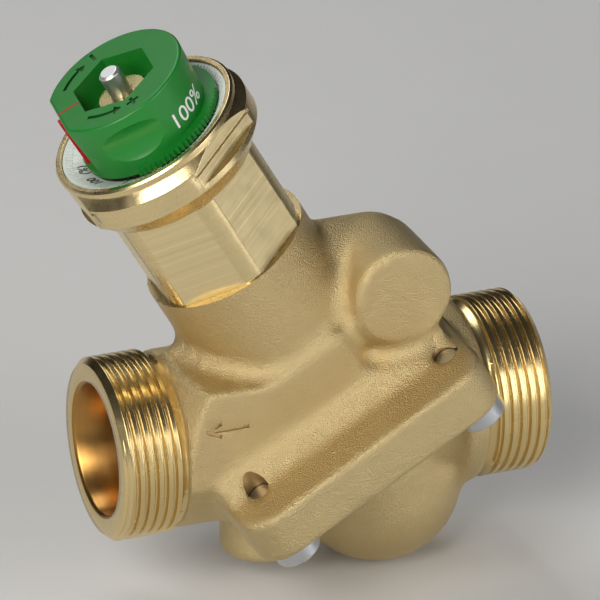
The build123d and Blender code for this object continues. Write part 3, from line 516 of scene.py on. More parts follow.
def combine(
    obj: bpy.types.Object, tools: Iterable[bpy.types.Object], operation: str, solver: str = "MANIFOLD"
) -> None:
    """Cut or add solids, one after the other, with the finish of each on its faces.

    Args:
        obj: The object that is changed.
        tools: The solids. They are deleted.
        operation: DIFFERENCE or UNION.
        solver: Blender's name for the way it is worked out.
    """
    tools = list(tools)
    for tool in tools:
        boolean = obj.modifiers.new("combine", "BOOLEAN")
        boolean.operation = operation
        boolean.solver = solver
        boolean.material_mode = "TRANSFER"
        boolean.object = tool
    bake(obj)
    remove(*tools)


def joined(obj: bpy.types.Object, others: Iterable[bpy.types.Object]) -> None:
    """Append the meshes of other objects to a mesh.

    Args:
        obj: The object that is changed.
        others: The other objects. They are deleted.
    """
    others = list(others)
    bm = bmesh.new()
    bm.from_mesh(obj.data)
    for other in others:
        bm.from_mesh(other.data)
    bm.to_mesh(obj.data)
    bm.free()
    remove(*others)


def remesh(obj: bpy.types.Object, voxel: float) -> None:
    """Add a voxel remesh modifier.

    Args:
        obj: The object.
        voxel: Size of a voxel in millimetres.
    """
    modifier = obj.modifiers.new("remesh", "REMESH")
    modifier.mode = "VOXEL"
    modifier.voxel_size = voxel


def cad_copy(node: str, name: str, finish: Finish) -> bpy.types.Object:
    """Copy a CAD node's mesh in millimetres, with its triangles joined up.

    Args:
        node: Name of the CAD node.
        name: Name of the copy.
        finish: Finish of all its faces.

    Returns:
        The copy as an object.
    """
    mesh = FRAME["nodes"][node].data.copy()
    mesh.transform(Matrix.Scale(1 / MM, 4))
    mesh.materials.clear()
    mesh.materials.append(finish.material())
    bm = bmesh.new()
    bm.from_mesh(mesh)
    bmesh.ops.remove_doubles(bm, verts=bm.verts, dist=0.002)
    bmesh.ops.recalc_face_normals(bm, faces=bm.faces)
    bm.to_mesh(mesh)
    bm.free()
    return new_object(mesh, name)


def bevelled(obj: bpy.types.Object, width: float, angle: float = 30.0) -> None:
    """Dissolve flat triangulation and round an object's sharp edges.

    Args:
        obj: The object, in millimetres.
        width: Width of the rounded edge.
        angle: Angle in degrees above which an edge is rounded.
    """
    bm = bmesh.new()
    bm.from_mesh(obj.data)
    bmesh.ops.dissolve_limit(
        bm, angle_limit=radians(0.4), verts=bm.verts, edges=bm.edges, delimit={"NORMAL"}
    )
    bm.to_mesh(obj.data)
    bm.free()
    obj.data.shade_smooth()
    bevel = obj.modifiers.new("bevel", "BEVEL")
    bevel.width = width
    bevel.segments = 2
    bevel.limit_method = "ANGLE"
    bevel.angle_limit = radians(angle)
    weighted = obj.modifiers.new("weighted", "WEIGHTED_NORMAL")
    weighted.weight = 80
    bake(obj)


def finish_piece(
    obj: bpy.types.Object, body: str, nodes: Sequence[str] = (), sharp: float = 35.0
) -> bpy.types.Object:
    """Scale a piece to metres, shade it and hang it on its body.

    Args:
        obj: The piece, in millimetres.
        body: CAD body that it rides on.
        nodes: CAD nodes that it stands for.
        sharp: Angle in degrees above which an edge stays sharp.

    Returns:
        The same object.
    """
    mesh = obj.data
    mesh.transform(Matrix.Scale(MM, 4))
    if not mesh.has_custom_normals:
        mesh.shade_smooth()
        mesh.set_sharp_from_angle(angle=radians(sharp))
    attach(obj, body)
    if nodes:
        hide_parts(*nodes)
    LOG.info("%s: %d faces on %s", obj.name, len(mesh.polygons), body)
    return obj


def polar(radius: float, angle: float, height: float) -> Vector:
    """Point round the regulating axis, from its radius, its angle in degrees and its height."""
    turn = radians(angle)
    return VALVE @ Vector((radius * cos(turn), radius * sin(turn), height))


def lettering(
    name: str, text: str, size: float, finish: Finish, place: Callable[[float, float], Vector]
) -> bpy.types.Object:
    """Lay a short text on a curved surface.

    Args:
        name: Name of the object.
        text: The characters, such as a number on the dial.
        size: Height of the letters in millimetres.
        finish: Finish of the print.
        place: Gives a point of the part's frame for a point of the flat text.

    Returns:
        The print as an object in millimetres.
    """
    size_per_height, step = 1.38, 0.01
    curve = bpy.data.curves.new(name, "FONT")
    curve.body = text
    curve.size = size * size_per_height
    curve.align_x = "CENTER"
    curve.align_y = "CENTER"
    curve.resolution_u = 4
    curve.extrude = 0.03
    flat = new_object(curve, name + "_flat")
    graph = bpy.context.evaluated_depsgraph_get()
    mesh = bpy.data.meshes.new_from_object(flat.evaluated_get(graph))
    bpy.data.objects.remove(flat)
    bpy.data.curves.remove(curve)
    for vertex in mesh.vertices:
        x, y, z = vertex.co
        base = place(x, y)
        out = place(x, y + step) - base
        side = place(x + step, y) - base
        vertex.co = base + side.cross(out).normalized() * z
    mesh.materials.clear()
    mesh.materials.append(finish.material())
    return new_object(mesh, name)


@dataclass(frozen=True)
class Flange:
    """Outline that the two bolted flanges share."""

    low: float = -21.5
    high: float = 19.9
    half: float = 22.5
    corner_r: float = 5.0
    corner_steps: int = 12

    def outline(self, margin: float) -> list[Point]:
        """Set out the rounded outline.

        Args:
            margin: How far the outline is grown.

        Returns:
            Its points in order.
        """
        corner_r = self.corner_r + margin
        low, high, half = self.low - margin, self.high + margin, self.half + margin
        points = []
        for turn, (x, y) in enumerate(((high, half), (low, half), (low, -half), (high, -half))):
            centre_x = x - corner_r if x > 0 else x + corner_r
            centre_y = y - corner_r if y > 0 else y + corner_r
            for step in range(self.corner_steps + 1):
                angle = pi / 2 * (turn + step / self.corner_steps)
                points.append((centre_x + corner_r * cos(angle), centre_y + corner_r * sin(angle)))
        return points


@dataclass(frozen=True)
class Thread:
    """Port with a helical pipe thread, from its chamfered end to its relief."""

    radius: float = 13.22
    pitch: float = 1.4
    depth: float = 0.56
    crest: float = 0.42
    flank: float = 0.42
    chamfer: float = 0.9
    first: float = 0.04
    end: float = 8.35
    relief: float = 0.35
    hub_r: float = 12.3
    length: float = 10.6
    rings: int = 190
    segments: int = 144

    def radius_at(self, angle: float, radius: float, height: float) -> float:
        """Work out the threaded surface.

        Args:
            angle: Angle round the pipe.
            radius: Radius before the thread is cut.
            height: Distance from the port's end.

        Returns:
            The radius at that place.
        """
        if not self.chamfer * 0.4 < height < self.end + 0.01:
            return radius
        turn = (height / self.pitch - angle / (2 * pi)) % 1.0
        cut = min(1.0, max(0.0, (abs(2 * turn - 1.0) - self.crest) / self.flank))
        return min(radius, self.radius - self.depth * cut * cut * (3 - 2 * cut))

    def build(self, name: str, frame: Matrix) -> bpy.types.Object:
        """Turn the port as one solid.

        Args:
            name: Name of the object.
            frame: The port's frame, whose z axis points into the valve.

        Returns:
            The solid as an object.
        """
        tip = self.radius - self.chamfer
        points = [(0.0, 0.0), (tip, 0.0)]
        for ring in range(self.rings + 1):
            height = self.first + (self.end - self.first) * ring / self.rings
            points.append((min(self.radius, tip + height), height))
        points += [(self.hub_r, self.end + self.relief), (self.hub_r, self.length), (0.0, self.length)]
        return lathe(name, points, frame, PORT, self.segments, radius_at=self.radius_at)


@dataclass
class Casting:
    """A sand-cast housing: fillets between its forms, machined port, faces and holes."""

    node: str
    name: str
    port: Matrix
    voxel: float = 0.38
    fillet: float = 1.6
    smooth_steps: int = 5
    sharp: float = 75.0
    block_half: float = 30.0
    block_end: float = 9.5
    port_bore: Profile = ((0, -0.5), (10.4, -0.5), (9.4, 0.5), (9.4, 11.0), (0, 11.0))
    plug_r: float = 9.6
    trim_margin: float = 0.4
    flange: Flange = Flange()
    thread: Thread = Thread()

    def openers(self) -> list[bpy.types.Object]:
        """Clear what the turned port replaces.

        Returns:
            The cutters.
        """
        half = self.block_half
        square = ((-half, -half), (half, -half), (half, half), (-half, half))
        return [prism("port_block", square, -6.0, self.block_end, self.port, CAST)]

    def plugs(self) -> list[bpy.types.Object]:
        """Solids that fill the casting's holes while its fillets are made."""
        raise NotImplementedError

    def trims(self) -> list[bpy.types.Object]:
        """Cutters of the machined outer faces."""
        raise NotImplementedError

    def bores(self) -> list[bpy.types.Object]:
        """Cutters of the bores, chambers and holes."""
        raise NotImplementedError

    def build(self) -> None:
        """Close the forms with fillets, then machine the port, the faces and the holes."""
        obj = cad_copy(self.node, self.name, CAST)
        combine(obj, self.openers(), "DIFFERENCE", "EXACT")
        joined(obj, self.plugs())
        remesh(obj, self.voxel)
        half = self.fillet / 2
        for strength in (half, half, -half, -half):
            displace = obj.modifiers.new("grow", "DISPLACE")
            displace.strength = strength
            displace.mid_level = 0.0
            remesh(obj, self.voxel)
        smooth = obj.modifiers.new("smooth", "SMOOTH")
        smooth.factor = 0.5
        smooth.iterations = self.smooth_steps
        bake(obj)
        combine(obj, self.trims(), "DIFFERENCE")
        combine(obj, [self.thread.build(self.name + "_port", self.port)], "UNION")
        # The port's mouth bore takes the painted shade colour of the deep bore.
        mouth = lathe("port_bore", self.port_bore, self.port, PAINTED_SHADE_BORE)
        combine(obj, [mouth, *self.bores()], "DIFFERENCE")
        finish_piece(obj, "valve", [self.node], self.sharp)


@dataclass
class BodyCasting(Casting):
    """Upper housing, with the outlet port, the neck, the side boss and the upper flange."""

    node: str = "valve_body"
    name: str = "body_casting"
    port: Matrix = field(default_factory=lambda: OUTLET)
    flare: Profile = ((12.7, 9.4), (24.0, 9.4), (24.0, 16.8))
    flange_top: float = 4.7
    neck_r: float = 12.27
    neck_top: float = 32.8
    chamber: Profile = (
        (0, 0.0), (13, 0.0), (13, 4.6), (5.4, 4.6), (5.4, 6.4), (6.65, 6.4), (6.65, 8.6),
        (9.3, 8.6), (9.3, 24.2), (10.6, 24.2), (10.6, 34.0), (0, 34.0),
    )
    passage_height: float = 4.4
    passage_r: float = 5.0
    core_hole_r: float = 1.65
    clear_hole_r: float = 2.05
    arrow_place: Colour = (12.2, -13.0, 6.4)
    arrow_half: float = 0.27
    arrow_bars: Profile = ((0.0, 6.2), (26.0, 2.3), (-26.0, 2.3))

    def openers(self) -> list[bpy.types.Object]:
        """Cutters that clear what the turned port and its flare replace."""
        return [*super().openers(), lathe("flare", self.flare, OUTLET, CAST, 96)]

    def plugs(self) -> list[bpy.types.Object]:
        """Fill the upper casting's holes while its fillets are made.

        Returns:
            The filling solids.
        """
        return [
            prism("plug", self.flange.outline(0.0), -3.0, self.flange_top, VALVE, CAST),
            drum("plug", PARTING, 36.0, self.neck_r, CAST, segments=120),
            drum("plug", self.block_end, 30.0, self.plug_r, CAST, frame=OUTLET),
            *[drum("plug", -2.0, 5.6, 2.6, CAST, point) for point in SCREWS],
        ]

    def trims(self) -> list[bpy.types.Object]:
        """Machine the parting plane and the neck's turned top.

        Returns:
            The cutters.
        """
        below = self.flange.outline(self.trim_margin)
        return [
            prism("trim", below, -45.0, PARTING, VALVE, PORT),
            drum("trim", self.neck_top, 40.0, 15.0, TURNED, segments=120),
        ]

    def bores(self) -> list[bpy.types.Object]:
        """Cut the passage, the chamber, the screw holes and the arrow.

        Returns:
            The cutters.
        """
        passage = placed((0.0, 0.0, self.passage_height), (0, 0, 1), (1, 0, 0))
        cutters = [
            # The passage takes the painted shade colour of the deep bore.
            drum("passage", 5.0, 23.0, self.passage_r, PAINTED_SHADE_BORE, frame=passage),
            lathe("chamber", self.chamber, VALVE, TURNED),
        ]
        for point in SCREWS:
            # The screw holes' walls take the painted shade colour.
            cutters.append(drum("hole", 0.0, 11.0, self.core_hole_r, PAINTED_SHADE_HOLE, point, segments=32))
            cutters.append(drum("hole", 0.0, 6.0, self.clear_hole_r, PAINTED_SHADE_HOLE, point, segments=32))
        facet = placed(self.arrow_place, (1, 0, 0), (0, -1, 0))
        half = self.arrow_half
        for angle, length in self.arrow_bars:
            turn = Matrix.Rotation(radians(angle), 4, "Z")
            outline = ((-0.1, -half), (length, -half), (length, half), (-0.1, half))
            cutters.append(prism("arrow", outline, -0.5, 2.0, facet @ turn, CAST))
        return cutters


@dataclass
class InletCasting(Casting):
    """Lower housing, with the inlet port, the dome, the foot and the lower flange."""

    node: str = "inlet_housing"
    name: str = "inlet_casting"
    port: Matrix = field(default_factory=lambda: INLET)
    flange_bottom: float = -1.2
    dome_r: float = 12.0
    dome_inner_r: float = 9.7
    dome_height: float = -13.5
    dome_bottom: float = -25.5
    hub: Profile = (
        (0, 9.6), (13.2, 9.6), (13.55, 10.2), (13.55, 12.9), (12.6, 13.4), (11.55, 13.6),
        (11.55, 21.0), (0, 21.0),
    )
    passage_height: float = -6.1
    passage_r: float = 3.8
    head_room_r: float = 3.9
    clear_hole_r: float = 2.25

    def dome_arc(self, radius: float, angles: Iterable[int]) -> list[Point]:
        """Points of the dome's arc, at angles in degrees below its equator."""
        turns = [radians(angle) for angle in angles]
        return [(radius * cos(turn), self.dome_height + radius * sin(turn)) for turn in turns]

    def plugs(self) -> list[bpy.types.Object]:
        """Fill the lower casting's holes while its fillets are made.

        Returns:
            The filling solids.
        """
        arc = self.dome_arc(self.dome_r, range(-80, 1, 10))
        dome = [(0, self.dome_bottom), *arc, (self.dome_r, PARTING), (0, PARTING)]
        return [
            prism("plug", self.flange.outline(0.0), self.flange_bottom, 4.0, VALVE, CAST),
            lathe("plug", dome, VALVE, CAST, 96),
            lathe("plug", self.hub, INLET, CAST, 96),
            drum("plug", self.block_end, 24.0, self.plug_r, CAST, frame=INLET),
            *[drum("plug", -1.9, 3.0, 2.9, CAST, point) for point in SCREWS],
        ]

    def trims(self) -> list[bpy.types.Object]:
        """Cutter of the parting plane."""
        return [prism("trim", self.flange.outline(self.trim_margin), PARTING, 33.0, VALVE, PORT)]

    def chamber(self) -> list[Point]:
        """Set out the turned room for the regulator, its spring and the diaphragm.

        Returns:
            Its outline as radii and heights.
        """
        arc = self.dome_arc(self.dome_inner_r, (-20, -15, -10, -5))
        return [
            (0, -18.4), (6.45, -18.4), (6.45, -17.6), (8.79, -17.6), *arc, (9.7, -13.5),
            (9.7, -8.2), (10.3, -8.2), (10.3, -0.9), (12.4, -0.9), (12.4, 0.0), (16.5, 0.0),
            (16.5, 2.0), (0, 2.0),
        ]

    def bores(self) -> list[bpy.types.Object]:
        """Cut the passage, the chamber, the head rooms and the screw holes.

        Returns:
            The cutters.
        """
        passage = placed((FACE_TO_FACE, 0.0, self.passage_height), (0, 0, 1), (-1, 0, 0))
        cutters = [
            # The passage takes the painted shade colour of the deep bore.
            drum("passage", 5.0, 19.0, self.passage_r, PAINTED_SHADE_BORE, frame=passage),
            lathe("chamber", self.chamber(), VALVE, TURNED),
        ]
        for point in SCREWS:
            cutters.append(drum("room", -7.0, -2.1, self.head_room_r, CAST, point))
            cutters.append(drum("hole", -2.6, 1.6, self.clear_hole_r, TURNED, point, segments=32))
        return cutters


@dataclass
class Bonnet:
    """Turned bonnet with milled flats."""

    edge: float = 0.14
    sharp: float = 32.0
    flats_from: float = 33.0
    flat_area: float = 0.5
    apothems: Profile = ((10.9, 11.1), (13.0, 13.5))

    def milled(self, face: bpy.types.MeshPolygon) -> bool:
        """Tell a milled flat from a turned face.

        Args:
            face: A face of the bonnet, in millimetres.

        Returns:
            Whether the face is part of a flat.
        """
        middle = VALVE.inverted() @ face.center
        normal = VALVE.to_3x3().inverted() @ face.normal
        apothem = middle.x * normal.x + middle.y * normal.y
        upright = abs(normal.z) < 0.05 and face.area > self.flat_area and middle.z > self.flats_from
        return upright and any(low < apothem < high for low, high in self.apothems)

    def build(self) -> None:
        """Round the bonnet's edges and give its milled flats their own finish."""
        obj = cad_copy("bonnet", "bonnet_turned", TURNED)
        bevelled(obj, self.edge)
        obj.data.materials.append(MILLED.material())
        for face in obj.data.polygons:
            face.material_index = int(self.milled(face))
        finish_piece(obj, "valve", ["bonnet"], self.sharp)


@dataclass(frozen=True)
class PolarRow:
    """A row of bars round the regulating axis, set out by a node tree."""

    name: str
    count: int
    radius: float
    height: float
    start: float
    sweep: float
    size: tuple[float, float, float]
    tilt: float

    @staticmethod
    def tree() -> bpy.types.NodeTree:
        """Build the shared node tree with its named inputs, at the first call.

        Returns:
            The node tree.
        """
        found = bpy.data.node_groups.get("polar_row")
        if found:
            return found
        tree = bpy.data.node_groups.new("polar_row", "GeometryNodeTree")
        for label, kind in (
            ("Geometry", "NodeSocketGeometry"), ("Count", "NodeSocketInt"),
            ("Radius", "NodeSocketFloat"), ("Start", "NodeSocketFloat"),
            ("Sweep", "NodeSocketFloat"), ("Size", "NodeSocketVector"),
            ("Tilt", "NodeSocketFloat"), ("Material", "NodeSocketMaterial"),
        ):
            tree.interface.new_socket(label, in_out="INPUT", socket_type=kind)
        tree.interface.new_socket("Geometry", in_out="OUTPUT", socket_type="NodeSocketGeometry")
        make, link = tree.nodes.new, tree.links.new
        given = make("NodeGroupInput").outputs

        def scalar(
            operation: str, first: bpy.types.NodeSocket, second: bpy.types.NodeSocket | None = None
        ) -> bpy.types.NodeSocket:
            """Add a scalar operation.

            Args:
                operation: Blender's name for the operation.
                first: Socket with the first value.
                second: Socket with the second value, where there is one.

            Returns:
                The socket with the result.
            """
            node = make("ShaderNodeMath")
            node.operation = operation
            link(first, node.inputs[0])
            if second is not None:
                link(second, node.inputs[1])
            return node.outputs[0]

        share = scalar("DIVIDE", make("GeometryNodeInputIndex").outputs[0], given["Count"])
        angle = scalar("ADD", scalar("MULTIPLY", share, given["Sweep"]), given["Start"])
        place = make("ShaderNodeCombineXYZ")
        link(scalar("MULTIPLY", scalar("COSINE", angle), given["Radius"]), place.inputs["X"])
        link(scalar("MULTIPLY", scalar("SINE", angle), given["Radius"]), place.inputs["Y"])
        turn = make("ShaderNodeCombineXYZ")
        link(given["Tilt"], turn.inputs["Y"])
        link(angle, turn.inputs["Z"])
        points = make("GeometryNodePoints")
        link(given["Count"], points.inputs["Count"])
        link(place.outputs[0], points.inputs["Position"])
        bar = make("GeometryNodeMeshCube")
        link(given["Size"], bar.inputs["Size"])
        instances = make("GeometryNodeInstanceOnPoints")
        link(points.outputs[0], instances.inputs["Points"])
        link(bar.outputs["Mesh"], instances.inputs["Instance"])
        link(turn.outputs[0], instances.inputs["Rotation"])
        real = make("GeometryNodeRealizeInstances")
        link(instances.outputs[0], real.inputs[0])
        painted = make("GeometryNodeSetMaterial")
        link(real.outputs[0], painted.inputs["Geometry"])
        link(given["Material"], painted.inputs["Material"])
        link(painted.outputs[0], make("NodeGroupOutput").inputs[0])
        return tree

    def build(self, finish: Finish) -> bpy.types.Object:
        """Make the row as a plain mesh.

        Args:
            finish: Finish of the bars.

        Returns:
            The row as an object in millimetres, in the part's frame.
        """
        obj = new_object(bpy.data.meshes.new(self.name), self.name)
        modifier = obj.modifiers.new("row", "NODES")
        modifier.node_group = self.tree()
        values = {
            "Count": self.count, "Radius": self.radius, "Start": radians(self.start),
            "Sweep": radians(self.sweep), "Size": self.size, "Tilt": radians(self.tilt),
            "Material": finish.material(),
        }
        for item in self.tree().interface.items_tree:
            if item.in_out == "INPUT" and item.name in values:
                modifier[item.identifier] = values[item.name]
        bake(obj)
        obj.data.transform(VALVE @ Matrix.Translation((0.0, 0.0, self.height)))
        return obj


@dataclass
class Dial:
    """White dial ring with its ribs, ticks and numbers."""

    inner_r: float = 9.2
    inner_height: float = 54.4
    slope: float = 1.8 / 3.32
    edge: float = 0.08
    rib_r: float = 12.05
    rib_count: int = 108
    rib_size: tuple[float, float, float] = (1.0, 0.2, 0.24)
    tick_r: float = 10.6
    tick_count: int = 11
    tick_start: float = -132.0
    tick_sweep: float = 297.0
    tick_size: tuple[float, float, float] = (1.9, 0.3, 0.1)
    number_r: float = 10.4
    number_size: float = 1.45
    number_lift: float = 0.035
    numbers: tuple[tuple[str, float], ...] = (
        ("100", -165.5), ("(%)", 170.5), ("80", -91.0), ("60", -37.0), ("40", 17.0), ("20", 71.0),
    )

    def cone(self, radius: float) -> float:
        """Height of the dial's face at a radius."""
        return self.inner_height + (radius - self.inner_r) * self.slope

    def number(self, text: str, angle: float) -> bpy.types.Object:
        """Print a number on the cone, its top outwards.

        Args:
            text: The number, or the percent sign in brackets.
            angle: Its angle round the axis in degrees.

        Returns:
            The print as an object.
        """

        def place(x: float, y: float) -> Vector:
            """Point of the cone for a point of the text."""
            radius = self.number_r + y * cos(atan(self.slope))
            height = self.cone(radius) + self.number_lift
            return polar(radius, angle - degrees(x / self.number_r), height)

        label = text if text.isdigit() else "percent"
        return lettering(f"dial_number_{label}", text, self.number_size, BLACK_PRINT, place)

    def build(self) -> None:
        """Build the ring, its ribs and its print."""
        ring = cad_copy("dial_ring", "dial_face", DIAL)
        bevelled(ring, self.edge)
        finish_piece(ring, "valve", ["dial_ring"], 30.0)
        tilt = -degrees(atan(self.slope))
        ribs = PolarRow(
            "dial_ribs", self.rib_count, self.rib_r, self.cone(self.rib_r), 0.0, 360.0, self.rib_size, tilt
        )
        finish_piece(ribs.build(DIAL), "valve")
        ticks = PolarRow(
            "dial_ticks", self.tick_count, self.tick_r, self.cone(self.tick_r), self.tick_start,
            self.tick_sweep, self.tick_size, tilt,
        )
        finish_piece(ticks.build(BLACK_PRINT), "valve")
        for text, angle in self.numbers:
            finish_piece(self.number(text, angle), "valve")


@dataclass
class Knob:
    """Green setting knob with its engraved marks, its print and the red pointer."""

    top: float = 65.0
    base: float = 55.9
    base_r: float = 9.75
    taper: float = tan(radians(4.2))
    edge: float = 0.09
    mark_depth: float = 0.32
    shaft_half: float = 0.3
    head_half: float = 0.95
    head_angle: float = 9.0
    arrow_steps: int = 12
    arrows: tuple[tuple[float, float, float], ...] = ((8.1, 138.4, 100.8), (7.6, -144.0, -103.4))
    bars: tuple[tuple[float, float, float, float], ...] = (
        (8.4, 90.0, 1.9, 0.5), (7.8, -90.5, 1.9, 0.5), (7.8, -90.5, 0.5, 1.9),
    )
    print_angle: float = -54.5
    print_height: float = 59.1
    print_size: float = 2.5
    print_lift: float = 0.03
    collar: Profile = ((6.2, 54.7), (8.95, 54.7), (9.7, 55.35), (9.7, 56.2), (6.2, 56.2))
    pointer_angle: float = 174.0
    pointer_edge: float = 0.08
    line_from: float = 5.75
    line_to: float = 9.0
    line_half: float = 0.17

    def side_r(self, height: float) -> float:
        """Radius of the tapered side at a height."""
        return self.base_r + (height - self.base) * self.taper

    def engraving(self, outline: Profile, frame: Matrix) -> bpy.types.Object:
        """Cutter of a mark in the knob's top, from its outline. Its faces take the painted shade green of
        the recess.
        """
        return prism("mark", outline, self.top - self.mark_depth, self.top + 1, frame, PAINTED_SHADE_GREEN)

    def arc_arrow(self, radius: float, tail: float, tip: float) -> bpy.types.Object:
        """Set out an arrow that bends round the axis.

        Args:
            radius: Radius of its middle line.
            tail: Angle of its tail in degrees.
            tip: Angle of its tip in degrees.

        Returns:
            The cutter as an object.
        """
        towards = 1 if tip > tail else -1
        neck = tip - towards * self.head_angle
        steps = range(self.arrow_steps + 1)
        stops = [tail + (neck - tail) * step / self.arrow_steps for step in steps]
        outline = [(radius + self.shaft_half, angle) for angle in stops]
        outline += [(radius + self.head_half, neck), (radius, tip), (radius - self.head_half, neck)]
        outline += [(radius - self.shaft_half, angle) for angle in reversed(stops)]
        flat = [(r * cos(radians(a)), r * sin(radians(a))) for r, a in outline]
        return self.engraving(flat, VALVE)

    def bar(self, radius: float, angle: float, length: float, width: float) -> bpy.types.Object:
        """Set out a straight radial bar.

        Args:
            radius: Radius of its middle.
            angle: Its angle round the axis in degrees.
            length: Its length along the radius.
            width: Its width.

        Returns:
            The cutter as an object.
        """
        near, far, half = radius - length / 2, radius + length / 2, width / 2
        outline = ((near, -half), (far, -half), (far, half), (near, half))
        return self.engraving(outline, VALVE @ Matrix.Rotation(radians(angle), 4, "Z"))

    def side_text(self, text: str) -> bpy.types.Object:
        """Print a text on the side, its top towards the knob's top.

        Args:
            text: The characters.

        Returns:
            The print as an object.
        """

        def place(x: float, y: float) -> Vector:
            """Point of the knob's side for a point of the text."""
            height = self.print_height + y
            radius = self.side_r(height)
            return polar(radius + self.print_lift, self.print_angle + degrees(x / radius), height)

        return lettering("knob_print", text, self.print_size, WHITE_PRINT, place)

    def build_pointer(self) -> None:
        """Build the red bar on the side and its line on the top."""
        pointer = cad_copy("knob_pointer", "pointer_bar", RED)
        bevelled(pointer, self.pointer_edge)
        finish_piece(pointer, "knob", ["knob_pointer"], 30.0)
        near, far, half = self.line_from, self.line_to, self.line_half
        outline = ((near, -half), (far, -half), (far, half), (near, half))
        frame = VALVE @ Matrix.Rotation(radians(self.pointer_angle), 4, "Z")
        line = prism("pointer_line", outline, self.top - 0.05, self.top + 0.03, frame, RED)
        finish_piece(line, "knob")

    def build(self) -> None:
        """Build the knob, its marks, its collar and the pointer."""
        obj = cad_copy("setting_knob", "knob_body", GREEN)
        # The engraved marks' faces take the painted shade green.
        marks = [self.arc_arrow(*arrow) for arrow in self.arrows] + [self.bar(*bar) for bar in self.bars]
        combine(obj, marks, "DIFFERENCE", "EXACT")
        bevelled(obj, self.edge)
        finish_piece(obj, "knob", ["setting_knob"], 30.0)
        finish_piece(self.side_text("100%"), "knob")
        finish_piece(lathe("knob_collar", self.collar, VALVE, GREEN), "knob")
        self.build_pointer()


@dataclass(frozen=True)
class SmallPart:
    """A machined part whose CAD mesh only needs rounded edges and a finish."""

    node: str
    name: str
    body: str
    slot: str
    finish: Finish
    bevel: float = 0.08

    def build(self) -> None:
        """Copy the node, round its edges and let the copy stand for it."""
        obj = cad_copy(self.node, self.name, self.finish)
        bevelled(obj, self.bevel)
        finish_piece(obj, self.body, [self.node], 30.0)


@dataclass
class Fittings:
    """Screws, stem and gland nut, and the finish of every inner CAD node."""

    small: tuple[SmallPart, ...] = (
        SmallPart("gland_nut", "gland_nut_turned", "setting", "turned_brass", TURNED),
        SmallPart("stem", "stem_pin", "spindle", "steel", STEEL),
        *(
            SmallPart(f"cover_screw_{i}", f"screw_{i}", "valve", "screw_zinc", ZINC, 0.12)
            for i in (1, 2, 3, 4)
        ),
    )
    inner: dict[str, Finish] = field(
        default_factory=lambda: {
            "turned_brass": TURNED, "steel": STEEL, "seal_rubber": RUBBER, "cast_brass": CAST,
            "dial_white": DIAL, "knob_green": GREEN, "pointer_red": RED, "screw_zinc": ZINC,
        }
    )

    def build(self) -> None:
        """Build the small parts and give the CAD nodes their finishes."""
        for part in self.small:
            part.build()
        slots = {item["node"]: item["material_slot"] for item in FRAME["record"]["subparts"]}
        for node, obj in FRAME["nodes"].items():
            material = self.inner[slots[node]].material()
            if not obj.material_slots:
                obj.data.materials.append(material)
            for slot in obj.material_slots:
                slot.material = material
        LOG.info("finishes set on %d CAD nodes", len(slots))


@dataclass(frozen=True)
class Lamp:
    """Square soft lamp. Its place and its side are in metres."""

    name: str
    place: Colour
    size: float
    watts: float
    tint: Colour

    def build(self, target: Colour) -> None:
        """Hang the lamp in the scene.

        Args:
            target: The point that it looks at.
        """
        data = bpy.data.lights.new(self.name, "AREA")
        data.size = self.size
        data.energy = self.watts
        data.color = self.tint
        obj = new_object(data, self.name)
        obj.location = self.place
        gaze = Vector(target) - Vector(self.place)
        obj.rotation_euler = gaze.to_track_quat("-Z", "Y").to_euler()


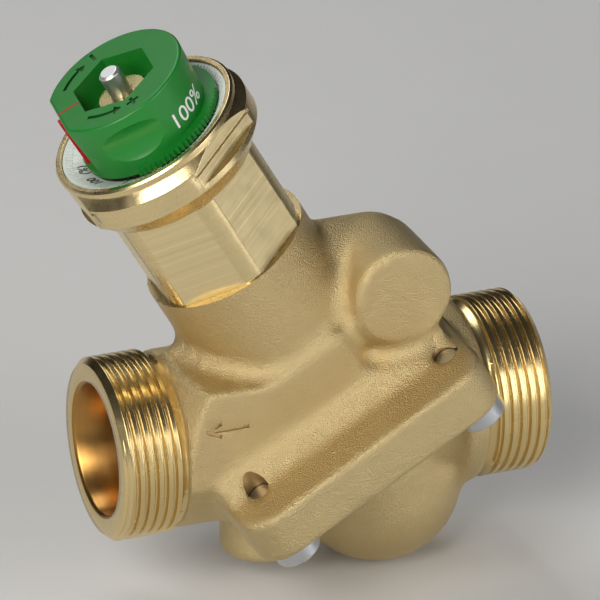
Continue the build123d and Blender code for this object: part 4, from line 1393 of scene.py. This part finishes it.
@dataclass
class Studio:
    """Pale floor, soft light and the photograph's camera. Its lengths are in metres."""

    eye: Colour = (-0.2533, -0.7234, 0.3827)
    target: Colour = (0.03379, 0.00686, 0.01460)
    lens: float = 363.6
    sensor: float = 36.0
    floor: Finish = Finish("studio_floor", (0.74, 0.74, 0.73), (0.72, 0.72, 0.71), 0.7)
    floor_half: float = 3.0
    floor_gap: float = 0.00005
    floor_depth: float = 0.004
    bright_side: Colour = (-0.25, -0.92, 0.15)
    dim: float = 0.2
    bright: float = 1.15
    lamps: tuple[Lamp, ...] = (
        Lamp("key", (-0.75, -0.65, 0.62), 0.7, 11.0, (1.0, 0.98, 0.95)),
        Lamp("fill", (0.7, -0.85, 0.3), 0.7, 5.5, (0.98, 0.98, 1.0)),
        Lamp("back", (-0.1, 0.7, 0.9), 0.6, 4.0, (1.0, 1.0, 1.0)),
    )

    def camera(self) -> None:
        """Put the camera at the photograph's viewing angle."""
        data = bpy.data.cameras.new("camera")
        data.lens = self.lens
        data.sensor_width = self.sensor
        obj = new_object(data, "camera")
        obj.location = self.eye
        gaze = Vector(self.target) - Vector(self.eye)
        obj.rotation_euler = gaze.to_track_quat("-Z", "Y").to_euler()
        bpy.context.scene.camera = obj

    def world(self) -> None:
        """Light the scene from all round, brightest from the camera's side."""
        world = bpy.data.worlds.new("studio")
        world.use_nodes = True
        tree = world.node_tree
        towards = tree.nodes.new("ShaderNodeVectorMath")
        towards.operation = "DOT_PRODUCT"
        towards.inputs[1].default_value = self.bright_side
        tree.links.new(tree.nodes.new("ShaderNodeTexCoord").outputs["Generated"], towards.inputs[0])
        ramp = tree.nodes.new("ShaderNodeMapRange")
        ramp.inputs["From Min"].default_value = -0.7
        ramp.inputs["From Max"].default_value = 0.9
        ramp.inputs["To Min"].default_value = self.dim
        ramp.inputs["To Max"].default_value = self.bright
        tree.links.new(towards.outputs["Value"], ramp.inputs["Value"])
        tree.links.new(ramp.outputs["Result"], tree.nodes["Background"].inputs["Strength"])
        bpy.context.scene.world = world

    def build(self) -> None:
        """Build the floor, the lamps, the world and the camera."""
        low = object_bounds()[0][2]
        half = self.floor_half
        square = ((-half, -half), (half, -half), (half, half), (-half, half))
        bottom, top = low - self.floor_depth, low - self.floor_gap
        prism("floor", square, bottom, top, UPRIGHT, self.floor)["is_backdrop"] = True
        for lamp in self.lamps:
            lamp.build(self.target)
        self.world()
        self.camera()
        bpy.context.scene.view_settings.view_transform = "Standard"


def main() -> None:
    """Build every sub-assembly over the CAD frame."""
    logging.basicConfig(level=logging.INFO, format="%(name)s %(message)s")
    FRAME.update(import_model())
    for assembly in (BodyCasting(), InletCasting(), Bonnet(), Dial(), Knob(), Fittings(), Studio()):
        assembly.build()


if __name__ == "__main__":
    main()
